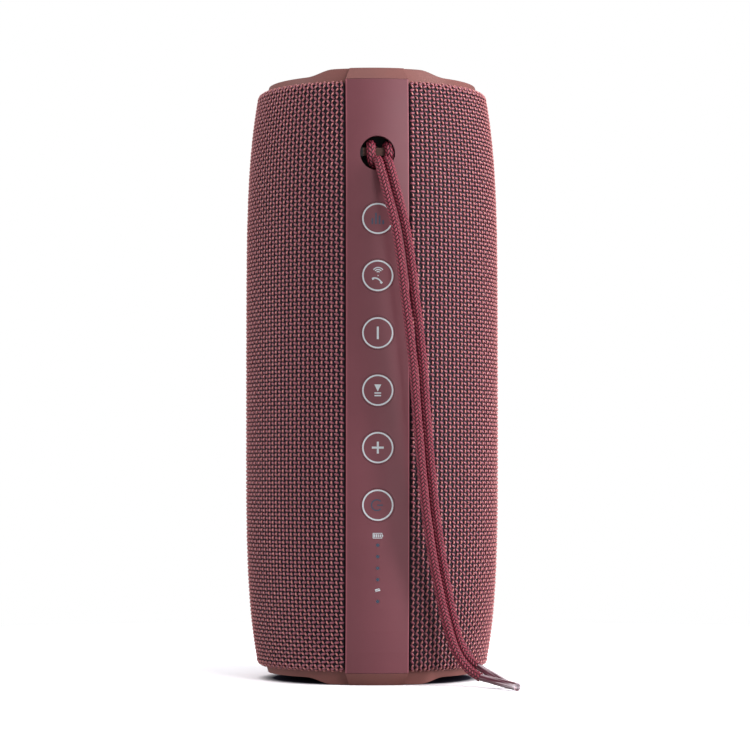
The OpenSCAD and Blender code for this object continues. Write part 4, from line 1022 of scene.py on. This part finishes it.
class SPEAKER_OT_prints(Operator):
    """Print the rings and signs of the keys, and the battery and charge signs"""

    bl_idname = "speaker.prints"
    bl_label = "Prints"

    def execute(self, context):
        prints = context.scene.speaker_prints
        grain = {"coarse": 300.0, "fine": 5000.0, "depth": 0.004 * MM}
        inks = {
            "light": finish("Light print", shade(prints.light, 0.94), shade(prints.light, 1.05), (0.4, 0.5),
                            **grain),
            "dark": finish("Dark print", shade(prints.dark, 0.9), shade(prints.dark, 1.15), (0.35, 0.45),
                           **grain),
        }
        turn = np.linspace(0, 2 * np.pi, 96, endpoint=False)
        for key, (ink, strokes) in key_signs(prints.stroke / MM).items():
            low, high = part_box(f"button_{key}")
            z, radius = (low.z + high.z) / 2, (high.x - low.x) / 2 - KEY_FLANGE
            middle = (radius - prints.ring_inset - prints.ring_width / 2) / MM
            circle = np.stack([np.cos(turn), np.sin(turn)], 1) * middle
            width = np.full(len(turn), prints.ring_width / MM)
            body = f"{key}_key"
            print_piece(f"ring_{key}", [(circle, width, True)], 0.0, z, inks["light"], context, body)
            shift = -0.3 * MM if key == "power" else 0.0
            print_piece(f"sign_{key}", strokes, shift, z, inks[ink], context, body)
        low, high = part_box("indicator_windows")
        gap = (high.z - low.z - WINDOW_LONG) / WINDOW_PITCHES
        cells = [stroke(-1.05 + 0.6 * k, -0.45, -1.05 + 0.6 * k, 0.45, 0.36, steps=3) for k in range(4)]
        shell = [stroke(-1.5, 0.72, 1.35, 0.72, 0.2), stroke(-1.5, -0.72, 1.35, -0.72, 0.2),
                 stroke(-1.42, -0.62, -1.42, 0.62, 0.2), stroke(1.27, -0.62, 1.27, 0.62, 0.2),
                 stroke(1.5, -0.28, 1.5, 0.28, 0.26)]
        print_piece("sign_battery", cells + shell, 0.0, high.z + 2.35 * MM, inks["light"], context)
        bolt = [stroke(0.75, 0.55, -0.75, -0.05, 0.05, 0.55), stroke(0.75, 0.05, -0.75, -0.55, 0.55, 0.05)]
        print_piece("sign_charge", bolt, 0.0, low.z + 0.5 * MM + gap, inks["light"], context)
        return {"FINISHED"}


# ---------------------------------------------------------------- ends

def rolled_outline(lip, wall, roll, height, inner, lip_z, drop, thick, steps=24):
    """Outline of a rubber surround: a flat lip, a skirt down its wall, a half-round roll and an inner lip.
    The roll is two half ellipses, half a thickness outside and inside its middle line."""
    h, low_z, mid = thick / 2, lip_z - drop, wall - roll / 2
    tuck = math.asin(h / (height + h))
    down = np.linspace(0, tuck - np.pi, steps)
    back = np.linspace(-np.pi, 0, steps)
    outer = np.stack([mid + (roll / 2 + h) * np.cos(down), low_z + (height + h) * np.sin(down)], 1)
    inside = np.stack([mid + (roll / 2 - h) * np.cos(back), low_z + (height - h) * np.sin(back)], 1)
    return np.vstack([[[lip, lip_z + h], [lip, lip_z - h], [wall + h, lip_z - h]], outer,
                      [[inner, low_z - h], [inner, low_z + h], [wall - roll + h, low_z + h]], inside,
                      [[wall - h, lip_z + h]]])


class SPEAKER_OT_ends(Operator):
    """Roll the radiators' rubber surrounds and turn their discs"""

    bl_idname = "speaker.ends"
    bl_label = "Ends"

    def execute(self, context):
        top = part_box("radiator_frame_top")[1].z
        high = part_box("radiator_surround_bottom")[1]
        thick = 0.7 * MM
        lip, lip_z = high.x, high.z - thick / 2
        skirt, roll, height, drop = 24.4 * MM, 5.5 * MM, 1.6 * MM, 2.2 * MM
        disc_low, disc_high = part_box("radiator_disc_bottom")
        plate, plate_low = disc_high.x, disc_low.z
        outline = rolled_outline(lip, skirt, roll, height, plate - 1.7 * MM, lip_z, drop, thick)
        ridge = [(plate * t, plate_low + rise * MM) for t, rise in (
            (0.0, 0.9), (0.3, 0.85), (0.52, 0.6), (0.56, 0.35), (0.6, 0.05), (0.63, 0.0), (0.9, 0.0),
            (0.93, 0.08), (0.955, 0.3), (0.985, 0.35), (1.0, 0.55))]
        back = [(plate, plate_low + 1.5 * MM), (plate - 1.75 * MM, plate_low + 1.5 * MM),
                (plate - 1.75 * MM, plate_low + 3.2 * MM), (0.0, plate_low + 3.2 * MM)]
        for word, body, flip in (("bottom", "lower_radiator", None), ("top", "upper_radiator", top)):
            ring = turned_piece(f"surround_{word}", outline, FINISHES["surround_rubber"], flip,
                                body=None, slot="surround_rubber", stands_for=[f"radiator_surround_{word}"])
            start, end = lip_z - thick / 2, lip_z - drop + thick / 2
            if flip:
                start, end = flip - start, flip - end
            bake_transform(ring)
            turned_piece(f"disc_{word}", ridge + back, FINISHES["disc_metal"], flip, body=body,
                         slot="disc_metal", stands_for=[f"radiator_disc_{word}"])
        return {"FINISHED"}


class SPEAKER_OT_finishes(Operator):
    """Give every part of the frame its finish"""

    bl_idname = "speaker.finishes"
    bl_label = "Finishes"

    def execute(self, context):
        scene = context.scene
        FINISHES.update(slot_materials(scene.speaker_body, scene.speaker_prints))
        for name, node in frame["nodes"].items():
            slot = "bar_metal" if name == "lanyard_bar" else node.data.materials[0].name
            if slot in FINISHES:
                node.material_slots[0].material = FINISHES[slot]
        return {"FINISHED"}


# ---------------------------------------------------------------- stage

SOFT_BOXES = {
    "left_box": {"place": (-0.87, -0.03, 0.3), "size": (0.3, 0.8), "watts": 3.9},
    "right_box": {"place": (0.82, -0.36, 0.3), "size": (0.16, 0.8), "watts": 9.0},
    "front_box": {"place": (0.5, -1.05, 0.5), "size": (0.35, 0.3), "watts": 4.6},
    "top_box": {"place": (0.0, -0.1, 0.9), "size": (0.8, 0.6), "watts": 1.4},
}
FLOOR_REACH = 6.0


def add_light(name, place, size, watts):
    """A rectangular soft white light that faces the middle of the speaker."""
    data = bpy.data.lights.new(name, "AREA")
    data.shape = "RECTANGLE"
    data.size, data.size_y = size
    data.energy = watts
    light = bpy.data.objects.new(name, data)
    light.location = place
    light.rotation_euler = (Vector((0, 0, MID_Z)) - Vector(place)).to_track_quat("-Z", "Y").to_euler()
    bpy.context.scene.collection.objects.link(light)


class SPEAKER_OT_stage(Operator):
    """Set up the camera, the soft studio lights, the pale floor and the white surroundings"""

    bl_idname = "speaker.stage"
    bl_label = "Stage"

    def execute(self, context):
        stage = context.scene.speaker_stage
        scene = context.scene
        data = bpy.data.cameras.new("camera")
        data.lens, data.sensor_width = stage.lens, 36.0
        data.clip_start, data.clip_end = 0.05, 50.0
        camera = bpy.data.objects.new("camera", data)
        scene.collection.objects.link(camera)
        sin, cos = math.sin(stage.turn), math.cos(stage.turn)
        place = Vector((-stage.distance * sin, -stage.distance * cos, stage.height))
        aim = Vector((stage.aim_side * cos, -stage.aim_side * sin, stage.aim_z))
        camera.location = place
        camera.rotation_euler = (aim - place).to_track_quat("-Z", "Y").to_euler()
        scene.camera = camera

        for name, box in SOFT_BOXES.items():
            add_light(name, **box)

        world = bpy.data.worlds.new("studio")
        scene.world = world
        world.use_nodes = True
        tree = world.node_tree
        lit = tree.nodes["Background"]
        lit.inputs[0].default_value = (1, 1, 1, 1)
        lit.inputs[1].default_value = stage.surround
        seen = wire(tree, "ShaderNodeBackground", {0: (1, 1, 1, 1), 1: 1.0})
        ray = tree.nodes.new("ShaderNodeLightPath").outputs["Is Camera Ray"]
        mixed = wire(tree, "ShaderNodeMixShader", {0: ray, 1: lit.outputs[0], 2: seen.outputs[0]})
        tree.links.new(mixed.outputs[0], tree.nodes["World Output"].inputs["Surface"])

        corners = np.array([[-1, -1, 0], [1, -1, 0], [1, 1, 0], [-1, 1, 0]]) * FLOOR_REACH
        floor = bpy.data.objects.new("floor", mesh_of("floor", corners, [np.array([[0, 1, 2, 3]])]))
        scene.collection.objects.link(floor)
        floor.data.materials.append(paper_material(stage.exposure))
        scene.view_settings.view_transform = "Standard"
        return {"FINISHED"}


class SPEAKER_PT_panel(Panel):
    """Buttons and settings of the speaker's looks"""

    bl_idname = "SPEAKER_PT_panel"
    bl_label = "Speaker"
    bl_space_type = "VIEW_3D"
    bl_region_type = "UI"
    bl_category = "Speaker"

    def draw(self, context):
        for operator in OPERATORS:
            self.layout.operator(operator.bl_idname)
        for name in SETTINGS:
            box = self.layout.box()
            group = getattr(context.scene, name)
            for key in group.__annotations__:
                box.prop(group, key)


OPERATORS = (SPEAKER_OT_stage, SPEAKER_OT_lanyard, SPEAKER_OT_finishes, SPEAKER_OT_cloth, SPEAKER_OT_prints,
             SPEAKER_OT_ends)
SETTINGS = {
    "speaker_cloth": ClothSettings,
    "speaker_cord": CordSettings,
    "speaker_prints": PrintSettings,
    "speaker_body": BodySettings,
    "speaker_stage": StageSettings,
}


def register():
    """Registers the settings, operators and panel."""
    for made in (*SETTINGS.values(), *OPERATORS, SPEAKER_PT_panel):
        bpy.utils.register_class(made)
    for name, group in SETTINGS.items():
        setattr(bpy.types.Scene, name, PointerProperty(type=group))


def unregister():
    """Removes what register added."""
    for name in SETTINGS:
        delattr(bpy.types.Scene, name)
    for made in (SPEAKER_PT_panel, *reversed(OPERATORS), *SETTINGS.values()):
        bpy.utils.unregister_class(made)


def main():
    """Builds everything in order."""
    register()
    bpy.ops.speaker.stage()
    bpy.ops.speaker.lanyard()
    bpy.ops.speaker.finishes()
    bpy.ops.speaker.cloth()
    bpy.ops.speaker.prints()
    bpy.ops.speaker.ends()


if __name__ == "__main__":
    main()
